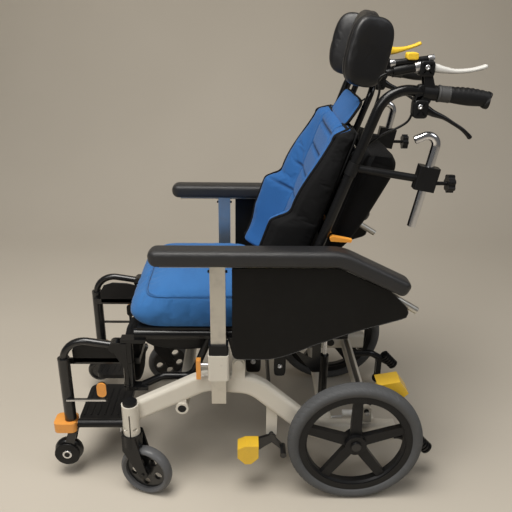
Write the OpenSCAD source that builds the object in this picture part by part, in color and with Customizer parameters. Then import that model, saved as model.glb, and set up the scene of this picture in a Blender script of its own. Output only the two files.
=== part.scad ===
/* [Rear wheels] */
// Outer diameter of a rear wheel
rear_wheel_d = 318; // [306:1:324]
// Width of a rear tyre
rear_tyre_w = 38; // [32:1:40]
// Depth of the rear tyre outside its rim
rear_tyre_t = 26; // [20:1:30]
// Distance between the middle planes of the rear wheels
rear_track = 512; // [512:1:530]
// Diameter of a rear axle bolt
axle_d = 12; // [8:1:16]
// Place of the rear axle along the chair, measured from the middle of its length
axle_y = 259; // [230:1:300]

/* [Casters] */
// Outer diameter of a caster wheel
caster_d = 130; // [110:1:134]
// Width of a caster wheel
caster_w = 30; // [22:1:32]
// Distance from the rear axle forward to the caster stems
wheelbase = 526; // [515:1:545]
// Distance between the two caster stems
caster_track = 464; // [456:1:480]
// Distance that a caster wheel trails its stem
caster_trail = 32; // [26:1:40]
// Angle that the casters are swivelled outward
caster_turn = 18; // [0:1:40]

/* [Base frame] */
// Distance between the middles of the two arched tubes
arch_gauge = 422; // [418:1:426]
// Width of the arched tube across the chair
arch_w = 30; // [24:1:32]
// Height of the arched tube's section
arch_h = 48; // [38:1:50]
// Height of the arched tube's middle line at its crown
arch_crown_z = 300; // [290:1:306]
// Outer diameter of a caster barrel
barrel_d = 40; // [36:1:46]
// Height of the seat's tilt pivot
tilt_z = 352; // [346:1:358]
// Distance from the rear axle forward to the tilt pivot
tilt_reach = 274; // [268:1:280]
// Diameter of the base's round cross tubes
cross_tube_d = 30; // [24:1:32]

/* [Armrests] */
// Distance between the middles of the two armrests
arm_gauge = 476; // [476:1:482]
// Height of the top of an arm pad
arm_top_z = 644; // [630:1:670]
// Width of an arm pad
arm_pad_w = 52; // [40:1:52]
// Thickness of an arm pad
arm_pad_t = 31; // [24:1:34]
// Size of the armrest post along the chair
post_l = 33; // [28:1:36]
// Size of the armrest post across the chair
post_w = 20; // [16:1:20]

/* [Seat] */
// Height of the seat rails' middle line
rail_z = 400; // [396:1:406]
// Diameter of a seat rail
rail_d = 25; // [22:1:26]
// Distance between the middles of the two seat rails
rail_gauge = 344; // [334:1:344]
// Distance from the rear axle forward to the front end of the rails
rail_reach = 515; // [512:1:518]
// Width of the seat cushion at its widest
cushion_w = 370; // [340:1:390]
// Length of the seat cushion
cushion_l = 272; // [250:1:274]
// Thickness of the seat cushion at its crown
cushion_t = 86; // [70:1:90]

/* [Back] */
// Angle that the back leans from upright
back_angle = 19.3; // [17:0.1:21]
// Distance from the rear axle forward to the recline pivot
recline_reach = 185; // [182:1:188]
// Height of the recline pivot
recline_z = 395; // [392:1:398]
// Distance between the middles of the two back canes
cane_gauge = 396; // [394:1:398]
// Diameter of a back cane
cane_d = 21; // [18:1:22]
// Length of a back cane from its pivot to the corner of its handle
cane_l = 601; // [590:1:612]
// Length of a push handle behind the corner
handle_l = 200; // [185:1:215]
// Diameter of a push grip
grip_d = 31; // [27:1:34]

/* [Headrest] */
// Height of the headrest pad
headrest_h = 150; // [130:1:160]
// Width of the headrest's middle pad
headrest_w = 170; // [150:1:190]
// Distance between the two headrest stalks
stalk_gauge = 176; // [160:1:200]

/* [Leg rests] */
// Distance between the middles of the two leg tubes
leg_gauge = 356; // [350:1:360]
// Diameter of the lower leg sleeve
sleeve_d = 28; // [24:1:30]
// Height of the footplate's hinge
footplate_z = 152; // [146:1:158]
// Length of a footplate along the chair
footplate_l = 116; // [90:1:118]
// Diameter of a footrest roller
roller_d = 70; // [60:1:74]

/* [Hidden] */
$fn = 40;

// Clearances and overruns
run_gap = 0.05;
seat_gap = 0.3;
slide_gap = 0.5;
over = 1;

// Places shared by several pieces
axle_z = rear_wheel_d / 2;
wheel_x = rear_track / 2;
arch_x = arch_gauge / 2;
arch_in = arch_x - arch_w / 2;
arch_out = arch_x + arch_w / 2;
caster_x = caster_track / 2;
tilt_at = [-tilt_reach, tilt_z];
recline_at = [-recline_reach, recline_z];
rail_x = rail_gauge / 2;
rail_r = rail_d / 2;
cane_x = cane_gauge / 2;
cane_r = cane_d / 2;
arm_x = arm_gauge / 2;
leg_x = leg_gauge / 2;

// A run of tubes and plates: shared helpers
function unit(v) = v / norm(v);
function turn(points, i) = acos(unit(points[i] - points[i - 1]) * unit(points[i + 1] - points[i]));
function cut(points, i, bend) =
    i < 1 || i > len(points) - 2 ? 0 : bend * tan(turn(points, i) / 2);

// Points of a rectangle with round corners
corner_steps = 4;
function round_rect(w, h, r) = [
    for (c = [0 : 3]) for (s = [0 : corner_steps])
        let (a = 90 * c + 90 * s / corner_steps)
            [(c == 0 || c == 3 ? 1 : -1) * (w / 2 - r) + r * cos(a), (c < 2 ? 1 : -1) * (h / 2 - r) + r * sin(a)]
];

// Puts children's X, Y and Z axes along x, y and z, with the origin at p
module frame_at(p, x, y, z)
    multmatrix([[x[0], y[0], z[0], p[0]], [x[1], y[1], z[1], p[1]], [x[2], y[2], z[2], p[2]], [0, 0, 0, 1]])
        children();

module aim(p, d) {
    helper = abs(d[0]) > 0.9 ? [0, 1, 0] : [1, 0, 0];
    x = unit(helper - d * (helper * d));
    frame_at(p, x, cross(d, x), d) children();
}

// Short beads join the lengths of a bent bar
bead = 0.02;
bead_half = 0.3;

// A round bar or tube through points, with round bends
module pipe(points, r, bend) {
    last = len(points) - 1;
    for (i = [0 : last - 1]) {
        d = unit(points[i + 1] - points[i]);
        start = points[i] + d * cut(points, i, bend);
        stop = points[i + 1] - d * cut(points, i + 1, bend);
        aim(start, d) cylinder(h = norm(stop - start), r = r);
    }
    if (last > 1 && bend > 0) for (i = [1 : last - 1]) {
        d = unit(points[i] - points[i - 1]);
        k = unit(cross(d, points[i + 1] - points[i]));
        x = cross(d, k);
        start = points[i] - d * cut(points, i, bend);
        frame_at(start - x * bend, x, d, k)
            rotate_extrude(angle = turn(points, i)) translate([bend, 0]) circle(r);
        aim(start - d * bead_half, d) cylinder(h = 2 * bead_half, r = r + bead);
        e = unit(points[i + 1] - points[i]);
        aim(points[i] + e * (cut(points, i, bend) - bead_half), e) cylinder(h = 2 * bead_half, r = r + bead);
    }
}

// A bar of rectangular section through points in a plane of constant X
module bar(points, w, h, r, bend) {
    last = len(points) - 1;
    for (i = [0 : last - 1]) {
        d = unit(points[i + 1] - points[i]);
        start = points[i] + d * cut(points, i, bend);
        stop = points[i + 1] - d * cut(points, i + 1, bend);
        frame_at(start, [1, 0, 0], cross(d, [1, 0, 0]), d)
            linear_extrude(norm(stop - start)) polygon(round_rect(w, h, r));
    }
    if (last > 1 && bend > 0) for (i = [1 : last - 1]) {
        d = unit(points[i] - points[i - 1]);
        k = unit(cross(d, points[i + 1] - points[i]));
        x = cross(d, k);
        start = points[i] - d * cut(points, i, bend);
        frame_at(start - x * bend, x, d, k)
            rotate_extrude(angle = turn(points, i)) translate([bend, 0]) polygon(round_rect(h, w, r));
        e = unit(points[i + 1] - points[i]);
        for (j = [[start, d], [points[i] + e * cut(points, i, bend), e]])
            frame_at(j[0] - j[1] * bead_half, [1, 0, 0], cross(j[1], [1, 0, 0]), j[1])
                linear_extrude(2 * bead_half) polygon(round_rect(w + 2 * bead, h + 2 * bead, r + bead));
    }
}

// Cylinders along X, Y and Z, from one end to the other
module x_cyl(x0, x1, at, r) translate([x0, at[0], at[1]]) rotate([0, 90, 0]) cylinder(h = x1 - x0, r = r);
module y_cyl(y0, y1, at, r) translate([at[0], y0, at[1]]) rotate([-90, 0, 0]) cylinder(h = y1 - y0, r = r);
module z_cyl(z0, z1, at, r) translate([at[0], at[1], z0]) cylinder(h = z1 - z0, r = r);

// A box from its lowest to its highest corner
module block(low, high) translate(low) cube(high - low);

// A plate between x0 and x1 with an outline of [y, z] points
module plate(points, x0, x1)
    translate([x0, 0, 0]) rotate([90, 0, 90]) linear_extrude(x1 - x0) polygon(points);

module both() { children(); mirror([1, 0, 0]) children(); }
module on_side(left) { if (left) children(); else mirror([1, 0, 0]) children(); }

// A closed stuffed form: rings of [half width, half length, height], round cornered by power
function pow_sign(v, power) = sign(v) * pow(abs(v), 2 / power);
module pillow(rings, count, power, low, high) {
    rows = len(rings);
    points = concat([[0, 0, low]],
        [for (g = rings) for (i = [0 : count - 1])
            let (a = 360 * i / count) [g[0] * pow_sign(cos(a), power), g[1] * pow_sign(sin(a), power), g[2]]],
        [[0, 0, high]]);
    function at(k, i) = 1 + k * count + i % count;
    polyhedron(points, concat(
        [for (i = [0 : count - 1]) [0, at(0, i), at(0, i + 1)]],
        [for (k = [0 : rows - 2]) for (i = [0 : count - 1]) for (t = [0, 1])
            t == 0 ? [at(k, i), at(k + 1, i), at(k + 1, i + 1)] : [at(k, i), at(k + 1, i + 1), at(k, i + 1)]],
        [for (i = [0 : count - 1]) [1 + rows * count, at(rows - 1, i + 1), at(rows - 1, i)]]));
}

// Rings of a pad: share of the half sizes and share of the thickness
pad_shares = [[0.55, 0], [0.9, 0.03], [0.985, 0.18], [1, 0.42], [0.985, 0.66], [0.93, 0.86], [0.78, 0.95], [0.5, 0.99]];
module pad(w, l, t, count, power)
    pillow([for (s = pad_shares) [s[0] * w / 2, s[0] * l / 2, s[1] * t]], count, power, 0, t);

// Base frame
arch_round = 9;
arch_bend = 90;
arch_crown_front_y = -352;
arch_crown_rear_y = -240;
arch_crown_drop = 9;
arch_front_z = 212;
arch_heel_y = -92;
arch_tail_y = 100;
arch_points = [
    [arch_x, -wheelbase, arch_front_z], [arch_x, arch_crown_front_y, arch_crown_z],
    [arch_x, arch_crown_rear_y, arch_crown_z - arch_crown_drop],
    [arch_x, arch_heel_y, axle_z], [arch_x, arch_tail_y, axle_z]];
barrel_r = barrel_d / 2;
barrel_low_z = 168;
barrel_high_z = 248;
stem_r = 10;
split_w = 3;
clamp_bolt_r = 4;
clamp_bolt_z = 186;
weld_near = 6;
weld_far = 14;
weld_down = 7;
weld_up = 12;
stub_inset = 1;
stub_in = arch_in + stub_inset;
stub_out = arch_out - stub_inset;
stub_front_l = 15;
stub_base_z = 285;
tilt_bolt_r = 6;
hub_boss_r = 16;
wheel_inner_x = wheel_x - rear_tyre_w / 2;
axle_r = axle_d / 2;

// Armrest post and its socket on the arch
post_to_tilt = 44.5;
post_y = tilt_at[0] - post_to_tilt;
socket_wall = 7;
socket_low_z = 326;
socket_high_z = 390;
socket_foot_z = 300;
socket_round = 6;
socket_in = arch_x;

// Round cross tubes of the base
cross_r = cross_tube_d / 2;
cross_front_y = -406;
cross_front_slope_share = (arch_crown_z - arch_front_z) / (wheelbase + arch_crown_front_y);
cross_front_z = arch_front_z + (wheelbase + cross_front_y) * cross_front_slope_share
    - arch_h / 2 * sqrt(1 + pow(cross_front_slope_share, 2)) - cross_r + 2 * seat_gap;
cross_front_over = 3;
cross_mid_y = -59.5;
cross_rear_y = 45;
saddle_l = 20;

// Brackets of the two brakes
front_brake_at = [-195, 150];
rear_brake_at = [30, 215];
brake_shaft_r = 6;
lug_r = 13;
lug_w = 10;
brake_lug_top_z = 262;

module arch_side() {
    difference() {
        union() {
            bar(arch_points, arch_w, arch_h, arch_round, arch_bend);
            z_cyl(barrel_low_z, barrel_high_z, [caster_x, -wheelbase], barrel_r);
            // plate that welds the barrel to the arch
            block([arch_x, -wheelbase + weld_near, arch_front_z - weld_down],
                [caster_x, -wheelbase + weld_far, arch_front_z + weld_up]);
            block([stub_in, tilt_at[0] - stub_front_l, stub_base_z], [stub_out, tilt_at[0] + stub_front_l, tilt_z]);
            x_cyl(stub_in, stub_out, tilt_at, stub_front_l);
            x_cyl(arch_in, wheel_inner_x + slide_gap, [0, axle_z], hub_boss_r);
            // armrest socket, with a foot on the arch
            block([stub_in, post_y - post_l / 2 - socket_wall, socket_foot_z],
                [stub_out, post_y + post_l / 2 + socket_wall, socket_low_z]);
            translate([(socket_in + arm_x + post_w / 2 + socket_wall) / 2, post_y, socket_low_z])
                linear_extrude(socket_high_z - socket_low_z)
                    polygon(round_rect(arm_x + post_w / 2 + socket_wall - socket_in, post_l + 2 * socket_wall,
                        socket_round));
            // lug of the front brake shaft
            plate([[front_brake_at[0] - lug_r, brake_lug_top_z], [front_brake_at[0] + lug_r, brake_lug_top_z - lug_r],
                [front_brake_at[0] + lug_r, front_brake_at[1]], [front_brake_at[0] - lug_r, front_brake_at[1]]],
                arch_x - lug_w / 2, arch_x + lug_w / 2);
            x_cyl(arch_x - lug_w / 2, arch_x + lug_w / 2, front_brake_at, lug_r);
            // lug of the rear brake shaft
            plate([[rear_brake_at[0] - lug_r, rear_brake_at[1]], [rear_brake_at[0] + lug_r, rear_brake_at[1]],
                [rear_brake_at[0] + lug_r, axle_z], [rear_brake_at[0] - lug_r, axle_z]],
                arch_x - lug_w / 2, arch_x + lug_w / 2);
            x_cyl(arch_x - lug_w / 2, arch_x + lug_w / 2, rear_brake_at, lug_r);
            // saddle of the front cross tube
            block([stub_in, cross_front_y - saddle_l / 2, cross_front_z], [stub_out, cross_front_y + saddle_l / 2,
                cross_front_z + cross_r + arch_h / 2]);
        }
        z_cyl(barrel_low_z - over, barrel_high_z + over, [caster_x, -wheelbase], stem_r);
        block([caster_x, -wheelbase - split_w / 2, barrel_low_z - over],
            [caster_x + barrel_r + over, -wheelbase + split_w / 2, barrel_high_z - barrel_r]);
        y_cyl(-wheelbase - barrel_r - over, -wheelbase + barrel_r + over,
            [caster_x + (stem_r + barrel_r) / 2, clamp_bolt_z], clamp_bolt_r);
        x_cyl(arch_in - over, arch_out + over, tilt_at, tilt_bolt_r + run_gap);
        x_cyl(arch_in - over, wheel_x, [0, axle_z], axle_r + run_gap);
        x_cyl(0, wheel_x, front_brake_at, brake_shaft_r + run_gap);
        x_cyl(0, wheel_x, rear_brake_at, brake_shaft_r + run_gap);
        x_cyl(0, wheel_x, [cross_front_y, cross_front_z], cross_r);
        translate([arm_x, post_y, 0]) linear_extrude(arm_top_z)
            square([post_w + 2 * slide_gap, post_l + 2 * slide_gap], center = true);
    }
}
module base_arches() color([0.87, 0.84, 0.78]) both() arch_side();

cylinder_r = 11;
spring_x = 90;
clevis_gap = 11;
clevis_t = 5;
clevis_r = 12;
tilt_foot_z = axle_z;
neck_over = 2;
neck_l = cross_r + neck_over;
pin_r = 4;
module base_cross_tubes() color([0.87, 0.84, 0.78]) {
    front_x = arch_out + cross_front_over;
    difference() {
        x_cyl(-front_x, front_x, [cross_front_y, cross_front_z], cross_r);
        both() x_cyl(front_x - plug_depth, front_x + over, [cross_front_y, cross_front_z], plug_r);
    }
    x_cyl(-arch_in, arch_in, [cross_rear_y, axle_z], cross_r);
    difference() {
        union() {
            x_cyl(-arch_in, arch_in, [cross_mid_y, axle_z], cross_r);
            for (s = [-1, 1]) {
                x0 = spring_x + s * (clevis_gap + clevis_t) / 2 - clevis_t / 2;
                x_cyl(x0, x0 + clevis_t, [cross_mid_y, tilt_foot_z], cross_r + over);
            }
        }
        block([spring_x - clevis_gap / 2, cross_mid_y - 2 * clevis_r, tilt_foot_z - 2 * clevis_r],
            [spring_x + clevis_gap / 2, cross_mid_y + 2 * clevis_r, tilt_foot_z + 2 * clevis_r]);
    }
    x_cyl(spring_x - clevis_gap / 2 - clevis_t, spring_x + clevis_gap / 2 + clevis_t,
        [cross_mid_y, tilt_foot_z], pin_r);
}

// Black plastic caps and collars of the base
plug_r = 10;
plug_depth = 6;
cap_h = 7;
cap_r = 17;
collar_h = 25;
collar_wall = 5;
module frame_caps() color([0.07, 0.07, 0.075]) both() {
    x_cyl(arch_out + cross_front_over - plug_depth + seat_gap, arch_out + cross_front_over,
        [cross_front_y, cross_front_z], plug_r - seat_gap);
    z_cyl(barrel_high_z, barrel_high_z + cap_h, [caster_x, -wheelbase], cap_r);
    translate([arm_x, post_y, socket_high_z]) difference() {
        linear_extrude(collar_h) polygon(round_rect(post_w + 2 * collar_wall, post_l + 2 * collar_wall, collar_wall));
        translate([0, 0, -over]) linear_extrude(collar_h + 2 * over)
            square([post_w + 2 * slide_gap, post_l + 2 * slide_gap], center = true);
    }
}

// Rear axle bolts and tilt pivot bolts
axle_head_r = 11;
axle_head_t = 5;
hub_l = 36;
bolt_head_t = 5;
tilt_plate_out = 191.5;
tilt_plate_in = 183;
module pivot_bolts() color([0.72, 0.72, 0.74]) both() {
    x_cyl(arch_in - axle_head_t, wheel_x + hub_l / 2 + seat_gap + axle_head_t, [0, axle_z], axle_r);
    x_cyl(arch_in - axle_head_t, arch_in, [0, axle_z], axle_head_r);
    x_cyl(wheel_x + hub_l / 2 + seat_gap, wheel_x + hub_l / 2 + seat_gap + axle_head_t, [0, axle_z], axle_head_r);
    x_cyl(tilt_plate_in - 2 * bolt_head_t, stub_out + bolt_head_t, tilt_at, tilt_bolt_r);
    x_cyl(tilt_plate_in - 2 * bolt_head_t, tilt_plate_in - seat_gap, tilt_at, tilt_bolt_r + bolt_head_t);
    x_cyl(stub_out, stub_out + bolt_head_t, tilt_at, tilt_bolt_r + bolt_head_t);
}

// Tipping tubes with ribbed foot ends and forks for the anti-tip wheels
tip_tube_r = 10;
tip_start_y = 60;
tip_bend_y = 125;
tip_end = [198, 82];
tip_bend = 30;
tip_x = 190;
tip_foot_r = 13;
tip_foot_l = 52;
tip_rib_count = 6;
tip_rib_h = 2.5;
tip_wheel_at = [150, 37];
tip_wheel_r = 15;
tip_wheel_w = 16;
tip_fork_w = 22;
tip_fork_t = 3;
tip_pin_r = 3;
tip_dir = unit([0, tip_end[0] - tip_bend_y, tip_end[1] - axle_z]);
tip_tail = [tip_x, tip_end[0], tip_end[1]];
module tipping_side() {
    pipe([[tip_x, tip_start_y, axle_z - arch_h / 2 - tip_tube_r], [tip_x, tip_bend_y, axle_z - arch_h / 2 - tip_tube_r],
        tip_tail], tip_tube_r, tip_bend);
    aim(tip_tail - tip_dir * tip_foot_l, tip_dir) cylinder(h = tip_foot_l, r = tip_foot_r);
    for (i = [0 : tip_rib_count - 1])
        aim(tip_tail - tip_dir * tip_foot_l * (i + 0.75) / tip_rib_count, tip_dir)
            cylinder(h = tip_foot_l / tip_rib_count / 2, r = tip_foot_r + tip_rib_h);
    block([tip_x - tip_tube_r / 2, tip_start_y, axle_z - arch_h / 2 - tip_tube_r],
        [arch_x, tip_start_y + 2 * tip_tube_r, axle_z - arch_h / 2]);
    fork_y = tip_wheel_at[0];
    fork_top = axle_z - arch_h / 2 - 2.2 * tip_tube_r;
    for (s = [-1, 1]) {
        x0 = tip_x + s * (tip_fork_w - tip_fork_t) / 2 - tip_fork_t / 2;
        block([x0, fork_y - tip_wheel_r / 2, tip_wheel_at[1]], [x0 + tip_fork_t, fork_y + tip_wheel_r / 2, fork_top]);
        x_cyl(x0, x0 + tip_fork_t, tip_wheel_at, tip_wheel_r / 2);
    }
    block([tip_x - tip_fork_w / 2, fork_y - tip_wheel_r / 2, tip_wheel_at[1] + tip_wheel_r + 2 * tip_fork_t],
        [tip_x + tip_fork_w / 2, fork_y + tip_wheel_r / 2, fork_top]);
    x_cyl(tip_x - tip_fork_w / 2, tip_x + tip_fork_w / 2, tip_wheel_at, tip_pin_r);
}
module tipping_tubes() color([0.06, 0.06, 0.065]) both() tipping_side();

module tipping_wheel(left) color([0.08, 0.08, 0.08]) on_side(left) difference() {
    on_axle(tip_x, tip_wheel_at) rotate_extrude() polygon(concat([[0, tip_wheel_w / 2 - over]],
        tyre_section(tip_wheel_r / 2, tip_wheel_r, tip_wheel_w), [[0, over - tip_wheel_w / 2]]));
    x_cyl(0, wheel_x, tip_wheel_at, tip_pin_r + run_gap);
}

// Parking brake: a shaft with two rockers, each with a yellow pedal and a tyre shoe
rocker_in = arch_out + seat_gap * 5;
rocker_out = wheel_inner_x - seat_gap * 5;
shoe_r = 7;
shoe_gap = 5.5;
shoe_angle = -11.5;
shoe_reach = axle_z + shoe_gap + shoe_r;
shoe_at = [-shoe_reach * cos(shoe_angle), axle_z + shoe_reach * sin(shoe_angle)];
pedal_low = [-276, 98];
pedal_high = [-226, 150];
pedal_x0 = 226;
pedal_x1 = 264;
pedal_toe = 18;
rocker_arm = 11;
module park_brake() {
    color([0.06, 0.06, 0.065]) both() {
        x_cyl(0, rocker_out, front_brake_at, brake_shaft_r);
        x_cyl(rocker_in, rocker_out, front_brake_at, rocker_arm);
        plate([[front_brake_at[0], front_brake_at[1] + rocker_arm], [pedal_high[0], pedal_high[1]],
            [pedal_high[0], pedal_low[1] + pedal_toe], [front_brake_at[0], front_brake_at[1] - rocker_arm]],
            rocker_in, rocker_out);
        plate([[front_brake_at[0], front_brake_at[1] + rocker_arm], [front_brake_at[0] - rocker_arm, front_brake_at[1]],
            [shoe_at[0] - shoe_r / 2, shoe_at[1] - shoe_r], [shoe_at[0] + shoe_r / 2, shoe_at[1]]],
            rocker_in, rocker_out);
        x_cyl(rocker_in, wheel_x + rear_tyre_w / 4, shoe_at, shoe_r);
    }
    color([0.95, 0.76, 0.12]) both() plate([[pedal_low[0], pedal_low[1] + pedal_toe], [pedal_low[0], pedal_high[1] - pedal_toe / 2],
        [pedal_low[0] + pedal_toe, pedal_high[1]], [pedal_high[0], pedal_high[1]], [pedal_high[0], pedal_low[1] + pedal_toe],
        [pedal_high[0] - pedal_toe, pedal_low[1]], [pedal_low[0] + pedal_toe, pedal_low[1]]], pedal_x0, pedal_x1);
}

// Rear brake: a shaft with two yellow pedals
rear_pedal_front = [62, 292];
rear_pedal_tail = [114, 268];
rear_pedal_t = 15;
rear_pedal_x0 = 186;
rear_pedal_x1 = 231;
rear_arm_x0 = 188;
rear_arm_x1 = 194;
module rear_brake() {
    color([0.06, 0.06, 0.065]) both() {
        x_cyl(0, arch_x + lug_w / 2 + over, rear_brake_at, brake_shaft_r);
        plate([[rear_brake_at[0] - lug_r, rear_brake_at[1]], [rear_brake_at[0] + lug_r / 2, rear_brake_at[1] - lug_r],
            [rear_brake_at[0] + lug_r, rear_brake_at[1]], [rear_pedal_tail[0], rear_pedal_tail[1]],
            [rear_pedal_front[0], rear_pedal_front[1]]], rear_arm_x0, rear_arm_x1);
    }
    color([0.95, 0.76, 0.12]) both() plate([[rear_pedal_front[0], rear_pedal_front[1] - rear_pedal_t / 2],
        [rear_pedal_front[0] - rear_pedal_t, rear_pedal_front[1] + rear_pedal_t / 3],
        [rear_pedal_tail[0] - rear_pedal_t, rear_pedal_front[1] + rear_pedal_t],
        [rear_pedal_tail[0] + rear_pedal_t / 2, rear_pedal_tail[1] + rear_pedal_t / 2],
        [rear_pedal_tail[0] - rear_pedal_t / 3, rear_pedal_tail[1] - rear_pedal_t / 3]], rear_pedal_x0, rear_pedal_x1);
}

// Gas springs: a cylinder with a blind bore and a rod with an eye
rod_r = 5;
eye_r = 13;
eye_bore_r = 7.5;
eye_w = 10;
tilt_top_at = [-60, 385];
tilt_cylinder_l = 134;
tilt_rod_l = 130;
recline_foot_at = [-38, 345];
recline_top_v = 175;
recline_top_w = 22;
recline_cylinder_l = 128;
recline_neck_l = 33;
recline_rod_l = 112;
back_sin = sin(back_angle);
back_cos = cos(back_angle);
// Place of a point of the back: w behind the canes and v along them from the pivot
function back_point(w, v) = [recline_at[0] + v * back_sin + w * back_cos, recline_at[1] + v * back_cos - w * back_sin];
recline_top_at = back_point(recline_top_w, recline_top_v);
recline_dir = unit([0, recline_top_at[0] - recline_foot_at[0], recline_top_at[1] - recline_foot_at[1]]);
recline_span = norm(recline_top_at - recline_foot_at);

// A gas spring's cylinder along Z from its foot eye at the origin
module spring_cylinder(l, neck) difference() {
    union() {
        translate([0, 0, clevis_r / 2]) cylinder(h = l - clevis_r / 2, r = cylinder_r);
        x_cyl(-eye_w / 2, eye_w / 2, [0, 0], clevis_r - over);
    }
    x_cyl(-cylinder_r - over, cylinder_r + over, [0, 0], pin_r + run_gap);
    for (s = [-1, 1]) block([s > 0 ? eye_w / 2 : -2 * cylinder_r, -2 * clevis_r, -2 * clevis_r],
        [s > 0 ? 2 * cylinder_r : -eye_w / 2, 2 * clevis_r, neck]);
    translate([0, 0, neck]) cylinder(h = l, r = rod_r + run_gap);
}
// A gas spring's rod along Z, with its eye's middle at the height top
module spring_rod(top, l) difference() {
    union() {
        translate([0, 0, top - l]) cylinder(h = l - eye_bore_r, r = rod_r);
        x_cyl(-eye_w / 2, eye_w / 2, [0, top], eye_r);
    }
    x_cyl(-eye_w, eye_w, [0, top], eye_bore_r);
}
module tilt_frame() translate([spring_x, cross_mid_y, tilt_foot_z]) children();
module recline_frame() frame_at([-spring_x, recline_foot_at[0], recline_foot_at[1]],
    [1, 0, 0], cross(recline_dir, [1, 0, 0]), recline_dir) children();
module tilt_cylinder() color([0.08, 0.08, 0.08]) tilt_frame() spring_cylinder(tilt_cylinder_l, neck_l);
module tilt_rod() color([0.75, 0.76, 0.78]) tilt_frame() spring_rod(tilt_top_at[1] - tilt_foot_z, tilt_rod_l);
module recline_cylinder() color([0.08, 0.08, 0.08]) recline_frame() spring_cylinder(recline_cylinder_l, recline_neck_l);
module recline_rod() color([0.75, 0.76, 0.78]) recline_frame() spring_rod(recline_span, recline_rod_l);

// Rear wheels
tyre_steps = 12;
tyre_bead_share = 0.72;
tyre_shoulder_share = 0.4;
// Half section of a tyre: an arch of rubber over a narrower bead
function tyre_section(r_in, r_out, w) = concat(
    [[r_in, w / 2 * tyre_bead_share]],
    [for (i = [0 : tyre_steps]) let (a = 180 * i / tyre_steps, mid = r_in + (r_out - r_in) * tyre_shoulder_share)
        [mid + (r_out - mid) * sin(a), w / 2 * cos(a)]],
    [[r_in, -w / 2 * tyre_bead_share]]);
module on_axle(x, at) translate([x, at[0], at[1]]) rotate([0, 90, 0]) children();
rim_r = axle_z - rear_tyre_t;
rim_w = 28;
rim_depth = 15;
rim_lip = 4;
spoke_count = 5;
spoke_w = 21;
spoke_root_w = 27;
spoke_t = 15;
hub_r = 25;
module rear_tyre(left) color([0.42, 0.42, 0.43]) on_side(left) on_axle(wheel_x, [0, axle_z])
    rotate_extrude($fn = 72) polygon(tyre_section(rim_r + seat_gap, axle_z, rear_tyre_w));
module rear_rim(left) color([0.07, 0.07, 0.075]) on_side(left) on_axle(wheel_x, [0, axle_z]) difference() {
    union() {
        rotate_extrude($fn = 72) polygon([[rim_r - rim_depth, -rim_w / 2], [rim_r, -rim_w / 2],
            [rim_r, rim_w / 2], [rim_r - rim_depth, rim_w / 2], [rim_r - rim_depth, rim_w / 2 - rim_lip],
            [rim_r - rim_depth - rim_lip, rim_w / 2 - 2 * rim_lip], [rim_r - rim_depth - rim_lip, 2 * rim_lip - rim_w / 2],
            [rim_r - rim_depth, rim_lip - rim_w / 2]]);
        translate([0, 0, -hub_l / 2]) cylinder(h = hub_l, r = hub_r);
        for (i = [0 : spoke_count - 1]) rotate(360 * i / spoke_count + 180)
            translate([0, 0, -spoke_t / 2]) linear_extrude(spoke_t)
                polygon([[0, -spoke_root_w / 2], [rim_r - rim_depth, -spoke_w / 2],
                    [rim_r - rim_depth, spoke_w / 2], [0, spoke_root_w / 2]]);
    }
    translate([0, 0, -hub_l]) cylinder(h = 2 * hub_l, r = axle_r + run_gap);
}

// Casters, each turned about its stem
caster_r = caster_d / 2;
crown_lift = 6;
crown_low_z = caster_d + crown_lift;
crown_r = 19;
fork_gap = 2;
fork_t = 5;
fork_boss_r = 12;
fork_top_l = 17;
caster_pin_r = 4;
caster_tyre_t = 15;
caster_web_t = 8;
caster_hub_r = 15;
caster_hole_count = 5;
caster_hole_r = 10;
module caster_frame(left) on_side(left)
    translate([caster_x, -wheelbase, 0]) rotate([0, 0, -caster_turn]) children();
module caster_fork(left) color([0.06, 0.06, 0.065]) caster_frame(left) {
    leg_x0 = caster_w / 2 + fork_gap;
    z_cyl(crown_low_z, barrel_high_z - seat_gap, [0, 0], stem_r - run_gap);
    z_cyl(crown_low_z, barrel_low_z - seat_gap, [0, 0], crown_r + fork_t);
    for (s = [-1, 1]) {
        x0 = s * (leg_x0 + fork_t / 2) - fork_t / 2;
        plate([[-fork_top_l, barrel_low_z - seat_gap], [-fork_top_l, crown_low_z - fork_boss_r],
            [caster_trail - fork_boss_r, caster_r], [caster_trail + fork_boss_r, caster_r],
            [fork_top_l, barrel_low_z - seat_gap]], x0, x0 + fork_t);
        x_cyl(x0, x0 + fork_t, [caster_trail, caster_r], fork_boss_r);
    }
    x_cyl(-leg_x0 - 1.5 * fork_t, leg_x0 + 1.5 * fork_t, [caster_trail, caster_r], caster_pin_r);
}
module caster_wheel(left) color([0.3, 0.3, 0.31]) caster_frame(left) on_axle(0, [caster_trail, caster_r])
    difference() {
        union() {
            rotate_extrude($fn = 60) polygon(tyre_section(caster_r - caster_tyre_t, caster_r, caster_w));
            translate([0, 0, -caster_web_t / 2]) cylinder(h = caster_web_t, r = caster_r - caster_tyre_t + over);
            translate([0, 0, -caster_w / 2]) cylinder(h = caster_w, r = caster_hub_r);
        }
        translate([0, 0, -caster_w]) cylinder(h = 2 * caster_w, r = caster_pin_r + run_gap);
        for (i = [0 : caster_hole_count - 1]) rotate(360 * i / caster_hole_count)
            translate([(caster_hub_r + caster_r - caster_tyre_t) / 2, 0, -caster_w])
                cylinder(h = 2 * caster_w, r = caster_hole_r);
    }

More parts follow.
